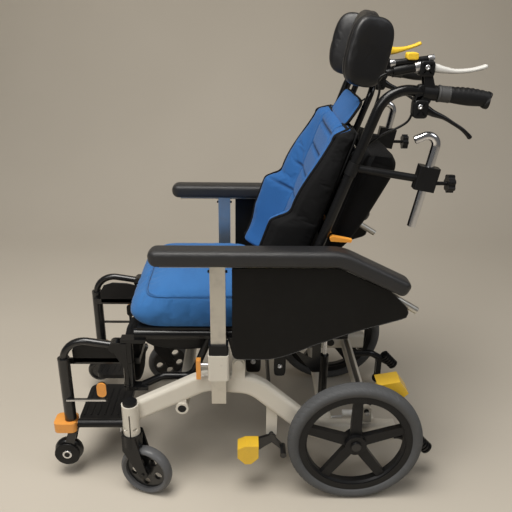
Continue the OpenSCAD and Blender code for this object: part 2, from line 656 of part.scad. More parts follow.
// Seat rails with their braces, tilt plates, recline plates, recline pins and hanger lugs
rail_rear_y = -22;
brace_r = 9;
brace_bend = 30;
hanger_at = [leg_x, -533];
hanger_r = 13;
lug_t = 9;
hanger_low_z = barrel_high_z + cap_h + lug_t + 2 * slide_gap;
hanger_high_z = 384;
hanger_pin_r = 5;
lug_half_w = 13;
brace_front_y = -455;
brace_rear_y = -385;
brace_top_y = -338;
brace_z = 285;
tilt_plate_half = 26;
tilt_boss_r = 14;
recline_plate_w = 92;
recline_plate_drop = 96;
recline_plate_t = 5;
recline_pin_r = 6;
module seat_rail_side() {
    rail_end = [rail_x, -rail_reach, rail_z];
    difference() {
        union() {
            pipe([[rail_x, rail_rear_y, rail_z], rail_end], rail_r, 0);
            for (z0 = [hanger_high_z + seat_gap, hanger_low_z - seat_gap - lug_t])
                block([hanger_at[0] - lug_half_w, hanger_at[1] - lug_half_w, z0],
                    [hanger_at[0] + lug_half_w, -rail_reach + 2 * lug_half_w, z0 + lug_t]);
            z_cyl(hanger_low_z - over, hanger_high_z + over, hanger_at, hanger_pin_r);
            pipe([[rail_x, -rail_reach + lug_half_w, hanger_low_z - seat_gap - lug_t / 2],
                [rail_x, brace_front_y, brace_z], [rail_x, brace_rear_y, brace_z], [rail_x, brace_top_y, rail_z]],
                brace_r, brace_bend);
            plate([[tilt_at[0] - tilt_plate_half, rail_z], [tilt_at[0] + tilt_plate_half, rail_z],
                [tilt_at[0] + tilt_boss_r, tilt_z], [tilt_at[0] - tilt_boss_r, tilt_z]], tilt_plate_in, tilt_plate_out);
            x_cyl(tilt_plate_in, tilt_plate_out, tilt_at, tilt_boss_r);
            x_cyl(rail_x, cane_x + cane_r + over, recline_at, recline_pin_r);
            recline_plate();
        }
        x_cyl(rail_x, wheel_x, tilt_at, tilt_bolt_r + run_gap);
    }
}
// Triangular plate below the rail, with a triangular opening
plate_hole_shares = [[0.2, 0.3], [0.78, 0.3], [0.78, 0.62]];
module recline_plate() {
    y0 = recline_at[0] + cane_r;
    x1 = rail_x + rail_r + over;
    difference() {
        plate([[y0, rail_z], [y0 + recline_plate_w, rail_z], [y0 + recline_plate_w, rail_z - recline_plate_drop],
            [y0 + recline_plate_w * 0.8, rail_z - recline_plate_drop]], x1 - recline_plate_t, x1);
        plate([for (s = plate_hole_shares) [y0 + s[0] * recline_plate_w, rail_z - s[1] * recline_plate_drop]],
            x1 - 2 * recline_plate_t, x1 + over);
    }
}
module seat_rails() color([0.06, 0.06, 0.065]) both() seat_rail_side();

// Seat cross tubes; the rear one carries the upper tilt pin and the lower recline pin
seat_cross_front_y = -470;
seat_cross_rear_y = -100;
hang_t = 5;
module hang_pair(x, at) for (s = [-1, 1]) {
    x0 = x + s * (clevis_gap + hang_t) / 2 - hang_t / 2;
    plate([[seat_cross_rear_y, rail_z + clevis_r / 2], [at[0] + clevis_r / 4, at[1] + clevis_r / 2],
        [at[0] - clevis_r / 4, at[1] - clevis_r / 2], [seat_cross_rear_y, rail_z - clevis_r / 2]], x0, x0 + hang_t);
    x_cyl(x0, x0 + hang_t, at, clevis_r * 0.6);
}
module seat_cross_tubes() color([0.06, 0.06, 0.065]) difference() {
    union() {
        for (y = [seat_cross_front_y, seat_cross_rear_y]) x_cyl(-rail_x, rail_x, [y, rail_z], rail_r);
        hang_pair(spring_x, tilt_top_at);
        x_cyl(spring_x - clevis_gap / 2 - hang_t, spring_x + clevis_gap / 2 + hang_t, tilt_top_at, pin_r);
        hang_pair(-spring_x, recline_foot_at);
        x_cyl(-spring_x - clevis_gap / 2 - hang_t, -spring_x + clevis_gap / 2 + hang_t, recline_foot_at, pin_r);
    }
    both() y_cyl(-wheelbase, wheelbase, [rail_x, rail_z], rail_r + seat_gap);
}

// Seat pan with a turned-down front lip, resting on the rails
pan_t = 6;
pan_z = rail_z + rail_r;
pan_w = 356;
pan_front_y = -508;
pan_rear_y = -150;
module seat_pan() color([0.08, 0.08, 0.085])
    block([-pan_w / 2, pan_front_y, pan_z], [pan_w / 2, pan_rear_y, pan_z + pan_t]);

// Seat cushion: drawn-in sides, a seam line half way up and a crowned top
cushion_z = pan_z + pan_t + seat_gap;
cushion_rear_y = -240;
cushion_mid_y = cushion_rear_y - cushion_l / 2;
cushion_count = 56;
cushion_power = 8;
// Rings as shares of half width, half length and thickness
cushion_shares = [
    [0.9, 0.9, 0], [0.965, 0.96, 0.03], [0.99, 0.985, 0.2], [1, 1, 0.42], [0.965, 0.99, 0.6],
    [0.895, 0.965, 0.73], [0.87, 0.95, 0.755], [0.835, 0.93, 0.79], [0.72, 0.83, 0.88], [0.5, 0.62, 0.955], [0.25, 0.32, 0.99]];
module seat_cushion() color([0.16, 0.38, 0.68]) translate([0, cushion_mid_y, cushion_z])
    pillow([for (s = cushion_shares) [s[0] * cushion_w / 2, s[1] * cushion_l / 2, s[2] * cushion_t]],
        cushion_count, cushion_power, 0, cushion_t);

// The back's own frame: Y behind the canes, Z along them from the recline pivot
module back_frame() translate([0, recline_at[0], recline_at[1]]) rotate([-back_angle, 0, 0]) children();
handle_rise = 48;
handle_bend = 62;
cane_tail = 24;
cane_boss_r = 15;
handle_corner = [cane_x, 0, cane_l];
handle_dir = unit([0, handle_l, handle_rise]);
function handle_at(s) = handle_corner + handle_dir * s;
module back_canes() color([0.06, 0.06, 0.065]) back_frame() both() difference() {
    union() {
        pipe([[cane_x, 0, -cane_tail], handle_corner, handle_at(handle_l - grip_lip)], cane_r, handle_bend);
        x_cyl(cane_x - cane_r + over, cane_x + cane_r - over, [0, 0], cane_boss_r);
        // ear of the latch rod
        block([cane_x - cane_r + over, 0, latch_v - latch_ear], [cane_x - cane_r + latch_ear, latch_w + latch_ear, latch_v + latch_ear]);
    }
    x_cyl(rail_x, wheel_x, [0, 0], recline_pin_r + run_gap);
    x_cyl(rail_x, wheel_x, [latch_w, latch_v], latch_rod_r + run_gap);
}

// Grips with finger grooves and an end flange
grip_l = 100;
grip_lip = 6;
grip_r = grip_d / 2;
groove_count = 4;
groove_depth = 2;
module grips() color([0.05, 0.05, 0.05]) back_frame() both() difference() {
    start = handle_at(handle_l - grip_l);
    union() {
        aim(start, handle_dir) rotate_extrude() polygon(concat([[0, 0], [grip_r + groove_depth, 0],
            [grip_r + groove_depth, grip_lip]],
            [for (i = [0 : 4 * groove_count]) [grip_r - groove_depth / 2 + groove_depth / 2 * cos(90 * i),
                grip_lip + (grip_l - 2 * grip_lip) * i / (4 * groove_count)]],
            [[grip_r + groove_depth, grip_l - grip_lip], [grip_r + groove_depth, grip_l - grip_lip / 2],
            [grip_r - groove_depth, grip_l], [0, grip_l]]));
    }
    aim(start - handle_dir * over, handle_dir) cylinder(h = grip_l - grip_lip + over + seat_gap, r = cane_r + run_gap);
}

// Back cross tubes; the upper one has receivers for the headrest stalks
lower_cross_v = 175;
latch_v = 277;
upper_cross_v = 455;
back_cross_r = 9;
upper_cross_r = 10.5;
stalk_r = 7;
stalk_x = stalk_gauge / 2;
receiver_r = 10;
receiver_l = 56;
module back_cross_tubes() color([0.06, 0.06, 0.065]) back_frame() difference() {
    union() {
        x_cyl(-cane_x, cane_x, [0, lower_cross_v], back_cross_r);
        x_cyl(-cane_x, cane_x, [0, upper_cross_v], upper_cross_r);
        both() z_cyl(upper_cross_v - receiver_l / 2, upper_cross_v + receiver_l / 2, [stalk_x, 0], receiver_r);
        for (s = [-1, 1]) {
            x0 = -spring_x + s * (clevis_gap + hang_t) / 2 - hang_t / 2;
            block([x0, 0, lower_cross_v - clevis_r / 2], [x0 + hang_t, recline_top_w, lower_cross_v + clevis_r / 2]);
            x_cyl(x0, x0 + hang_t, [recline_top_w, recline_top_v], clevis_r / 2);
        }
        x_cyl(-spring_x - clevis_gap / 2, -spring_x + clevis_gap / 2, [recline_top_w, recline_top_v], pin_r);
    }
    both() {
        z_cyl(-cane_l, cane_l, [cane_x, 0], cane_r + seat_gap);
        z_cyl(lower_cross_v + 2 * back_cross_r, cane_l, [stalk_x, 0], stalk_r + run_gap);
    }
    // room for the recline spring's eye
    block([-spring_x - clevis_gap / 2, 0, lower_cross_v - eye_r - 2 * slide_gap],
        [-spring_x + clevis_gap / 2, recline_top_w - pin_r, lower_cross_v + eye_r + 2 * slide_gap]);
}

// Back cover: a fabric panel in front of the canes and a deep pocket behind them
cover_t = 5;
cover_gap = 0.3;
cover_half_w = 184;
cover_low_v = 45;
cover_high_v = 498;
pocket_half_w = 168;
pocket_w = 27;
pocket_low_share = 0.52;
pocket_low_v = lower_cross_v + (latch_v - lower_cross_v) * pocket_low_share;
pocket_top_v = 478;
pocket_depth = 82;
pocket_edge_v = 392;
// Outline of the pocket as shares of its depth and height
pocket_shares = [[0, 0], [0.3, 0.02], [0.58, 0.14], [0.8, 0.42], [0.99, 0.8], [1, 0.86], [0.95, 0.93], [0.74, 0.99], [0, 0.93]];
module back_cover() color([0.09, 0.09, 0.095]) back_frame() {
    block([-cover_half_w, -cane_r - cover_gap - cover_t, cover_low_v], [cover_half_w, -cane_r - cover_gap, cover_high_v]);
    plate([for (s = pocket_shares) [pocket_w + s[0] * pocket_depth,
        pocket_low_v + s[1] * (pocket_top_v - pocket_low_v)]], -pocket_half_w, pocket_half_w);
    // the pocket's sewn edges reach the panel between the canes
    for (v = [pocket_low_v, pocket_edge_v]) block([-pocket_half_w + over, -cane_r - cover_gap - cover_t / 2, v + over],
        [pocket_half_w - over, pocket_w + over, v + cover_t]);
}

// Back pad: a quilted front with side bolsters, lower wings and sewn channels, and a head flap above
pad_rear_w = cane_r + cover_gap + cover_t + seat_gap;
pad_half_w = 188;
pad_low_v = 76;
pad_high_v = 496;
pad_base_t = 24;
bolster_start_share = 0.52;
wing_top_share = 0.49;
wing_out = 76;
bolster_out = 40;
channel_depth = 5;
channel_v_shares = [0.3, 0.46, 0.62, 0.78, 0.92];
pad_nx = 28;
pad_nv = 30;
edge_t_share = 0.3;
pad_crown = 7;
pad_foot = 14;
function step_up(t, t0, t1) = let (u = min(1, max(0, (t - t0) / (t1 - t0)))) u * u * (3 - 2 * u);
function bump(t, width) = exp(-pow(t / width, 2));
// Half width of the pad at a share of its height
function pad_half(q) = pad_half_w * (1 - 0.13 * step_up(q, 0.72, 1) - 0.05 * step_up(0.12 - q, 0, 0.12));
// Depth of the pad in front of its flat rear, at shares of its half width and height
function pad_depth(p, q) = let (
        side_share = step_up(abs(p), bolster_start_share, 0.84) * (1 - 0.14 * step_up(abs(p), 0.93, 1)),
        wing = wing_out * (0.62 + 0.38 * step_up(q, 0, 0.28)) * (1 - step_up(q, wing_top_share - 0.05, wing_top_share + 0.03)),
        upper = bolster_out * step_up(q, wing_top_share - 0.05, wing_top_share + 0.03) * (1 - 0.55 * step_up(q, 0.6, 1)),
        sew = max([for (c = channel_v_shares) bump(q - c, 0.012)]) * (abs(p) < bolster_start_share ? 1 : 0.3),
        seam = bump(abs(p) - bolster_start_share, 0.03),
        ends = step_up(q, -0.01, 0.05) * step_up(1 - q, -0.01, 0.05))
    edge_t_share * pad_base_t + ends * ((1 - edge_t_share) * pad_base_t * (1 - pow(p, 8) * 0.4)
        + pad_crown * (1 - p * p) + pad_foot * (1 - step_up(q, 0, 0.2)) + side_share * (wing + upper) - channel_depth * max(sew, seam));
module quilt() {
    function at(i, j) = i * (pad_nv + 1) + j;
    total = (pad_nx + 1) * (pad_nv + 1);
    front = [for (i = [0 : pad_nx]) for (j = [0 : pad_nv]) let (p = 2 * i / pad_nx - 1, q = j / pad_nv)
        [p * pad_half(q), -pad_rear_w - pad_depth(p, q), pad_low_v + q * (pad_high_v - pad_low_v)]];
    rim = concat([for (i = [0 : pad_nx - 1]) [i, 0]], [for (j = [0 : pad_nv - 1]) [pad_nx, j]],
        [for (i = [pad_nx : -1 : 1]) [i, pad_nv]], [for (j = [pad_nv : -1 : 1]) [0, j]]);
    count = len(rim);
    rear = [for (r = rim) let (f = front[at(r[0], r[1])]) [f[0], -pad_rear_w, f[2]]];
    mid = [0, -pad_rear_w, (pad_low_v + pad_high_v) / 2];
    polyhedron(concat(front, rear, [mid]), concat(
        [for (i = [0 : pad_nx - 1]) for (j = [0 : pad_nv - 1]) for (t = [0, 1])
            t == 0 ? [at(i, j), at(i + 1, j + 1), at(i + 1, j)] : [at(i, j), at(i, j + 1), at(i + 1, j + 1)]],
        [for (k = [0 : count - 1]) for (t = [0, 1]) let (a = rim[k], b = rim[(k + 1) % count])
            t == 0 ? [at(a[0], a[1]), at(b[0], b[1]), total + k]
                : [at(b[0], b[1]), total + (k + 1) % count, total + k]],
        [for (k = [0 : count - 1]) [total + count, total + k, total + (k + 1) % count]]));
}
flap_w = stalk_gauge - 2 * (stalk_r + seat_gap);
flap_l = 56;
flap_t = 20;
flap_front_w = 12;
flap_low_v = 499;
module back_pad() back_frame() {
    color([0.16, 0.38, 0.68]) quilt();
    color([0.1, 0.24, 0.46]) translate([0, -flap_front_w + flap_t / 2, flap_low_v + flap_l / 2]) rotate([90, 0, 0])
        translate([0, 0, -flap_t / 2]) pad(flap_w, flap_l, flap_t, 24, 6);
}

// Handle clamps: lever housings on the handles and arms that carry the hooked tubes
housing_s = 70;
housing_l = 26;
housing_r = 15;
lever_pivot = [78, 928];
top_pivot = [84, 1002];
mount_w = 22;
mount_t = 8;
pivot_pin_r = 3;
arm_bar_v = 432;
arm_bar_r = 8;
arm_ring_t = 2;
hook_dir = unit([0, 28, 152]);
hook_clamp_at = [110, 782];
clamp_half = 22;
clamp_h = 50;
hook_r = 9;
hook_x = cane_x;
knob_stem_r = 4;
// Places of the chair in the back's own frame
function back_w(y, z) = (y - recline_at[0]) * back_cos - (z - recline_at[1]) * back_sin;
function back_v(y, z) = (y - recline_at[0]) * back_sin + (z - recline_at[1]) * back_cos;
module handle_clamp_side() {
    difference() {
        union() {
            // housing round the handle with plates to both lever pivots
            back_frame() aim(handle_at(housing_s), handle_dir) cylinder(h = housing_l, r = housing_r);
            housing_yz = back_point(handle_at(housing_s + housing_l / 2)[1], handle_at(housing_s + housing_l / 2)[2]);
            for (s = [-1, 1]) {
                x0 = cane_x + s * (mount_w - mount_t / 2) / 2 - mount_t / 4;
                plate([[housing_yz[0] - mount_w / 2, housing_yz[1]], [lever_pivot[0] - mount_t, lever_pivot[1]],
                    [lever_pivot[0] + mount_t, lever_pivot[1] - mount_t / 2], [housing_yz[0] + mount_w / 2, housing_yz[1]],
                    [top_pivot[0] + mount_t, top_pivot[1]], [top_pivot[0] - mount_t, top_pivot[1] + mount_t / 2]],
                    x0, x0 + mount_t / 2);
                x_cyl(x0, x0 + mount_t / 2, lever_pivot, mount_t);
                x_cyl(x0, x0 + mount_t / 2, top_pivot, mount_t);
            }
            x_cyl(cane_x - mount_w / 2, cane_x + mount_w / 2, lever_pivot, pivot_pin_r);
            x_cyl(cane_x - mount_w / 2, cane_x + mount_w / 2, top_pivot, pivot_pin_r);

        }
        back_frame() pipe([handle_corner - [0, 0, cane_l / 2], handle_corner, handle_at(handle_l)], cane_r + run_gap, handle_bend);
    }
    difference() {
        union() {
            clamp_w = back_w(hook_clamp_at[0] - clamp_half, hook_clamp_at[1]);
            arm_end = back_v(hook_clamp_at[0] - clamp_half, hook_clamp_at[1]);
            back_frame() {
                aim([hook_x, 0, arm_bar_v], unit([0, clamp_w, arm_end - arm_bar_v]))
                    cylinder(h = norm([clamp_w, arm_end - arm_bar_v]) + clamp_half / 4, r = arm_bar_r);
                z_cyl(arm_bar_v - 2 * arm_bar_r, arm_bar_v + 1.4 * arm_bar_r, [cane_x, 0], cane_r + arm_ring_t);
            }
            aim([hook_x, hook_clamp_at[0], hook_clamp_at[1]] - hook_dir * clamp_h / 2, hook_dir)
                linear_extrude(clamp_h) polygon(round_rect(2 * (hook_r + knob_stem_r), 2 * clamp_half, knob_stem_r));
        }
        back_frame() z_cyl(0, cane_l, [cane_x, 0], cane_r + run_gap);
        aim([hook_x, hook_clamp_at[0], hook_clamp_at[1]] - hook_dir * clamp_h, hook_dir)
            cylinder(h = 2 * clamp_h, r = hook_r + run_gap);
        y_cyl(hook_clamp_at[0] + hook_r + over, hook_clamp_at[0] + 2 * clamp_half, [hook_x, hook_clamp_at[1] - clamp_half / 2],
            knob_stem_r + run_gap);
    }
}
module handle_clamps() color([0.05, 0.05, 0.055]) both() handle_clamp_side();

// Hooked chrome tubes, held in the clamps
hook_low = 106;
hook_high = 102;
hook_over_y = -50;
hook_over_z = -22;
hook_bend = 19;
hook_wall = 1.5;
module hook_path(r) {
    middle = [hook_x, hook_clamp_at[0], hook_clamp_at[1]];
    top = middle + hook_dir * hook_high;
    pipe([middle - hook_dir * hook_low, top, top + [0, hook_over_y, hook_over_z]], r, hook_bend);
}
module hook_tube(left) color([0.75, 0.76, 0.78]) on_side(left) difference() {
    hook_path(hook_r);
    hook_path(hook_r - hook_wall);
}

// Star knobs on screws behind the clamps
knob_r = 19;
knob_t = 14;
knob_lobes = 7;
knob_reach = 22;
module star_knob(left) color([0.12, 0.16, 0.15]) on_side(left) {
    start = hook_clamp_at[0] + hook_r + over + slide_gap;
    at = [hook_x, hook_clamp_at[1] - clamp_half / 2];
    y0 = hook_clamp_at[0] + clamp_half + knob_reach;
    y_cyl(start, y0 + over, at, knob_stem_r);
    difference() {
        y_cyl(y0, y0 + knob_t, at, knob_r);
        for (i = [0 : knob_lobes - 1]) let (a = 360 * i / knob_lobes)
            y_cyl(y0 - over, y0 + knob_t + over, at + (knob_r + knob_stem_r) * [cos(a), sin(a)], knob_r / 2.6);
    }
}

// Levers at the handles: brake levers below, tilt and recline levers above
lever_r = 4.5;
lever_boss_r = 7;
lever_boss_w = 11;
brake_tip = [184, 873];
brake_knee = [128, 896];
top_knee = [140, 1000];
top_tip = [196, 1010];
lever_bend = 30;
module lever(pivot, knee, tip, r) difference() {
    union() {
        pipe([[cane_x, pivot[0], pivot[1]], [cane_x, knee[0], knee[1]], [cane_x, tip[0], tip[1]]], r, lever_bend);
        translate([cane_x, tip[0], tip[1]]) sphere(r = r + over);
        x_cyl(cane_x - lever_boss_w / 2, cane_x + lever_boss_w / 2, pivot, lever_boss_r);
    }
    x_cyl(cane_x - mount_w, cane_x + mount_w, pivot, pivot_pin_r + run_gap);
}
module brake_lever(left) color([0.06, 0.06, 0.065]) on_side(left) lever(lever_pivot, brake_knee, brake_tip, lever_r);
module tilt_lever() color([0.78, 0.79, 0.8]) lever(top_pivot, top_knee, top_tip, lever_r);
module recline_lever() color([0.95, 0.76, 0.12]) on_side(false) lever(top_pivot, top_knee, top_tip, lever_r + over);

// Orange back latches on one rod behind the canes
latch_w = 17;
latch_rod_r = 4;
latch_ear = 7;
latch_l = 42;
latch_t = 6;
latch_x0 = cane_x - cane_r + latch_ear + slide_gap;
latch_x1 = cane_x + cane_r;
module back_latch() back_frame() both() {
    color([0.2, 0.2, 0.2]) x_cyl(0, latch_x1, [latch_w, latch_v], latch_rod_r);
    color([0.95, 0.55, 0.15]) plate([[latch_w - latch_rod_r, latch_v], [latch_w, latch_v + latch_t],
        [latch_w + latch_l, latch_v + latch_t + latch_t], [latch_w + latch_l, latch_v + latch_t],
        [latch_w, latch_v - latch_t]], latch_x0, latch_x1);
}

// Headrest: a stalk frame, and a pad with two wings on a hinge pin
stalk_low_v = 405;
stalk_turn_v = 590;
stalk_bend = 26;
head_pivot = [34, 985];
head_pin_r = 5;
head_ear_w = 34;
head_disc_r = 23;
head_lean = 11;
head_t = 38;
head_front = -33;
wing_l = 96;
wing_t = 36;
wing_h = 140;
wing_yaw = -72;
wing_x = 100;
wing_y = -52;
wing_drop = 4;
head_mid_z = 30;
module headrest_stalk() color([0.07, 0.07, 0.075]) {
    top = [back_w(head_pivot[0], head_pivot[1]), back_v(head_pivot[0], head_pivot[1])];
    back_frame() {
        pipe([[-stalk_x, 0, stalk_low_v], [-stalk_x, 0, stalk_turn_v], [stalk_x, 0, stalk_turn_v],
            [stalk_x, 0, stalk_low_v]], stalk_r, stalk_bend);
        difference() {
            union() for (s = [-1, 1]) {
                x0 = s * head_ear_w / 2 - stalk_r / 2;
                plate([[-stalk_r, stalk_turn_v], [stalk_r, stalk_turn_v - stalk_r], [top[0] + 2 * head_pin_r, top[1]],
                    [top[0] - 2 * head_pin_r, top[1]]], x0, x0 + stalk_r);
                x_cyl(x0, x0 + stalk_r, top, head_disc_r);
            }
            x_cyl(-head_ear_w, head_ear_w, top, head_pin_r + run_gap);
        }
    }
}
module head_frame() translate([0, head_pivot[0], head_pivot[1]]) rotate([-head_lean, 0, 0]) children();
// A stuffed pad that stands upright, facing along -Y
module upright_pad(w, h, t, count) rotate([90, 0, 0]) pad(w, h, t, count, 3.2);
module headrest_pad() color([0.07, 0.07, 0.075]) head_frame() {
    translate([0, head_front, head_mid_z]) upright_pad(headrest_w, headrest_h, head_t, 36);
    both() translate([wing_x, wing_y, head_mid_z - wing_drop]) rotate([0, 0, wing_yaw])
        translate([0, wing_t / 2, 0]) upright_pad(wing_l, wing_h, wing_t, 32);
    hinge_w = head_ear_w - stalk_r - 2 * slide_gap;
    block([-hinge_w / 2, head_front - 2 * over, -head_pin_r], [hinge_w / 2, 0, head_pin_r]);
    x_cyl(-hinge_w / 2, hinge_w / 2, [0, 0], 2 * head_pin_r);
    x_cyl(-head_ear_w / 2 - stalk_r, head_ear_w / 2 + stalk_r, [0, 0], head_pin_r);
}

// Armrest: post and rail in one frame, a pad and a side panel
pad_front_y = -464;
pad_knee_y = -60;
pad_slope = 26;
pad_tail_l = 168;
rail_arm_r = 8;
pad_bottom_z = arm_top_z - arm_pad_t;
arm_rail_z = pad_bottom_z - seat_gap - rail_arm_r;
post_low_z = 260;
post_wall = 2.5;
arm_rail_front_y = -440;
arm_rail_knee_y = -66;
arm_rail_tail = [112, 497];
arm_wall = 1.5;
arm_bend = 60;
module arm_rail_path(r) pipe([[arm_x, arm_rail_front_y, arm_rail_z], [arm_x, arm_rail_knee_y, arm_rail_z],
    [arm_x, arm_rail_tail[0], arm_rail_tail[1]]], r, arm_bend);
arm_bore_l = 60;
module arm_frame(left) color([0.72, 0.71, 0.68]) on_side(left) difference() {
    union() {
        arm_rail_path(rail_arm_r);
        translate([arm_x, post_y, post_low_z]) linear_extrude(arm_rail_z - post_low_z)
            square([post_w, post_l], center = true);
    }
    translate([arm_x, post_y, post_low_z - over]) linear_extrude(arm_rail_z - post_low_z - 2 * rail_arm_r)
        square([post_w - 2 * post_wall, post_l - 2 * post_wall], center = true);
    y_cyl(arm_rail_front_y - over, arm_rail_front_y + arm_bore_l, [arm_x, arm_rail_z], rail_arm_r - arm_wall);
}
pad_edge = 11;
// A length of arm pad with rounded edges, from the origin along +Y
module pad_run(l) hull() for (y = [pad_edge, l - pad_edge]) for (s = [-1, 1]) for (z = [pad_edge, arm_pad_t - pad_edge])
    translate([s * (arm_pad_w / 2 - pad_edge), y, z]) sphere(r = pad_edge, $fn = 16);
module arm_pad(left) color([0.13, 0.13, 0.135]) on_side(left) difference() {
    union() {
        translate([arm_x, pad_front_y, pad_bottom_z]) pad_run(pad_knee_y - pad_front_y);
        translate([arm_x, pad_knee_y, pad_bottom_z]) rotate([-pad_slope, 0, 0])
            translate([0, -2 * pad_edge, 0]) pad_run(pad_tail_l + 2 * pad_edge);
    }
    arm_rail_path(rail_arm_r + seat_gap);
}
panel_t = 5;
panel_x = arm_x + rail_arm_r + seat_gap;
post_to_panel = 30.5;
panel_front_y = post_y + post_to_panel;
panel_high_z = 600;
panel_low_z = 380;
panel_round = 12;
panel_rear = [92, 494];
panel_gap = 4;
panel_knee = [52, 546];
// Lower edge of the panel behind its front corner: place along the chair and rise
panel_sweep = [[-206, 0], [-176, 7], [-140, 21], [-106, 37], [-72, 50], [-20, 70]];
// Outline of the panel: level below the seat, then rising to its rear corner, and along the pad above
module side_panel(left) color([0.05, 0.05, 0.055]) on_side(left) plate(concat([
    [panel_front_y, panel_high_z], [panel_front_y, panel_low_z + panel_round],
    [panel_front_y + panel_round / 3, panel_low_z + panel_round / 3], [panel_front_y + panel_round, panel_low_z]],
    [for (s = panel_sweep) [s[0], panel_low_z + s[1]]], [[panel_rear[0] - panel_round, panel_rear[1] - panel_round],
    [panel_rear[0] - panel_round / 4, panel_rear[1] - panel_round / 2], [panel_rear[0], panel_rear[1] + panel_round / 3],
    [panel_rear[0] - panel_round / 2, panel_rear[1] + panel_round * 1.5], panel_knee,
    [pad_knee_y - panel_gap, panel_high_z]]),
    panel_x, panel_x + panel_t);

// Orange lock lever of each armrest, on a chrome screw in front of its socket
lock_z = 358;
lock_screw_r = 4;
lock_reach = 18;
lock_t = 9;
lock_half_w = 8;
lock_up = 14;
lock_down = 34;
module arm_lock(left) on_side(left) {
    face_y = post_y - post_l / 2 - socket_wall;
    color([0.75, 0.76, 0.78]) y_cyl(face_y - lock_reach, face_y - seat_gap, [arm_x, lock_z], lock_screw_r);
    color([0.95, 0.5, 0.15]) difference() {
        block([arm_x - lock_half_w, face_y - lock_reach - lock_t, lock_z - lock_down],
            [arm_x + lock_half_w, face_y - lock_reach + over, lock_z + lock_up]);
        translate([arm_x, 0, lock_z - lock_down]) rotate([0, 45, 0])
            block([-lock_half_w / 2, -wheelbase, -lock_half_w / 2], [lock_half_w / 2, 0, lock_half_w / 2]);
    }
}

// Leg rests: a hanger that swings on the rail's lug pin
leg_pivot = [-562, 372];
leg_pin_r = 5;
leg_ear_t = 5;
leg_ear_r = 12;
leg_eye_w = 20;
module leg_hanger(left) color([0.06, 0.06, 0.065]) on_side(left) difference() {
    union() {
        z_cyl(hanger_low_z, hanger_high_z, hanger_at, hanger_r);
        for (s = [-1, 1]) {
            x0 = leg_x + s * (leg_eye_w + leg_ear_t + slide_gap) / 2 - leg_ear_t / 2;
            plate([[hanger_at[1], hanger_high_z], [leg_pivot[0], leg_pivot[1] + leg_ear_r],
                [leg_pivot[0], leg_pivot[1] - leg_ear_r], [hanger_at[1], hanger_low_z + 3 * leg_ear_r]], x0, x0 + leg_ear_t);
            x_cyl(x0, x0 + leg_ear_t, leg_pivot, leg_ear_r);
        }
        x_cyl(leg_x - leg_eye_w / 2 - leg_ear_t, leg_x + leg_eye_w / 2 + leg_ear_t, leg_pivot, leg_pin_r);
        for (z0 = [hanger_low_z, (hanger_low_z + hanger_high_z) / 2, hanger_high_z - leg_ear_t])
            z_cyl(z0, z0 + leg_ear_t, hanger_at, hanger_r + over);
    }
    z_cyl(hanger_low_z - over, hanger_high_z + over, hanger_at, hanger_pin_r + run_gap);
}

// Calf pads, facing forward behind the footplates, on brackets of the leg tubes
calf_x = 98;
calf_y = -531;
calf_z = 316;
calf_w = 106;
calf_h = 150;
calf_t = 32;
calf_lean = 0;
calf_arm_x = 153.5;
calf_arm_h = 16;
calf_rear = [calf_x, calf_y + calf_t / 2 * cos(calf_lean), calf_z + calf_t / 2 * sin(calf_lean)];
calf_arm_z = calf_rear[2] - calf_arm_h / 2;
module calf_frame() translate([calf_x, calf_y, calf_z]) rotate([calf_lean, 0, 0]) children();
module calf_pad(left) color([0.08, 0.08, 0.085]) on_side(left) calf_frame()
    translate([0, calf_t / 2, 0]) rotate([90, 0, 0]) pad(calf_w, calf_h, calf_t, 32, 4);

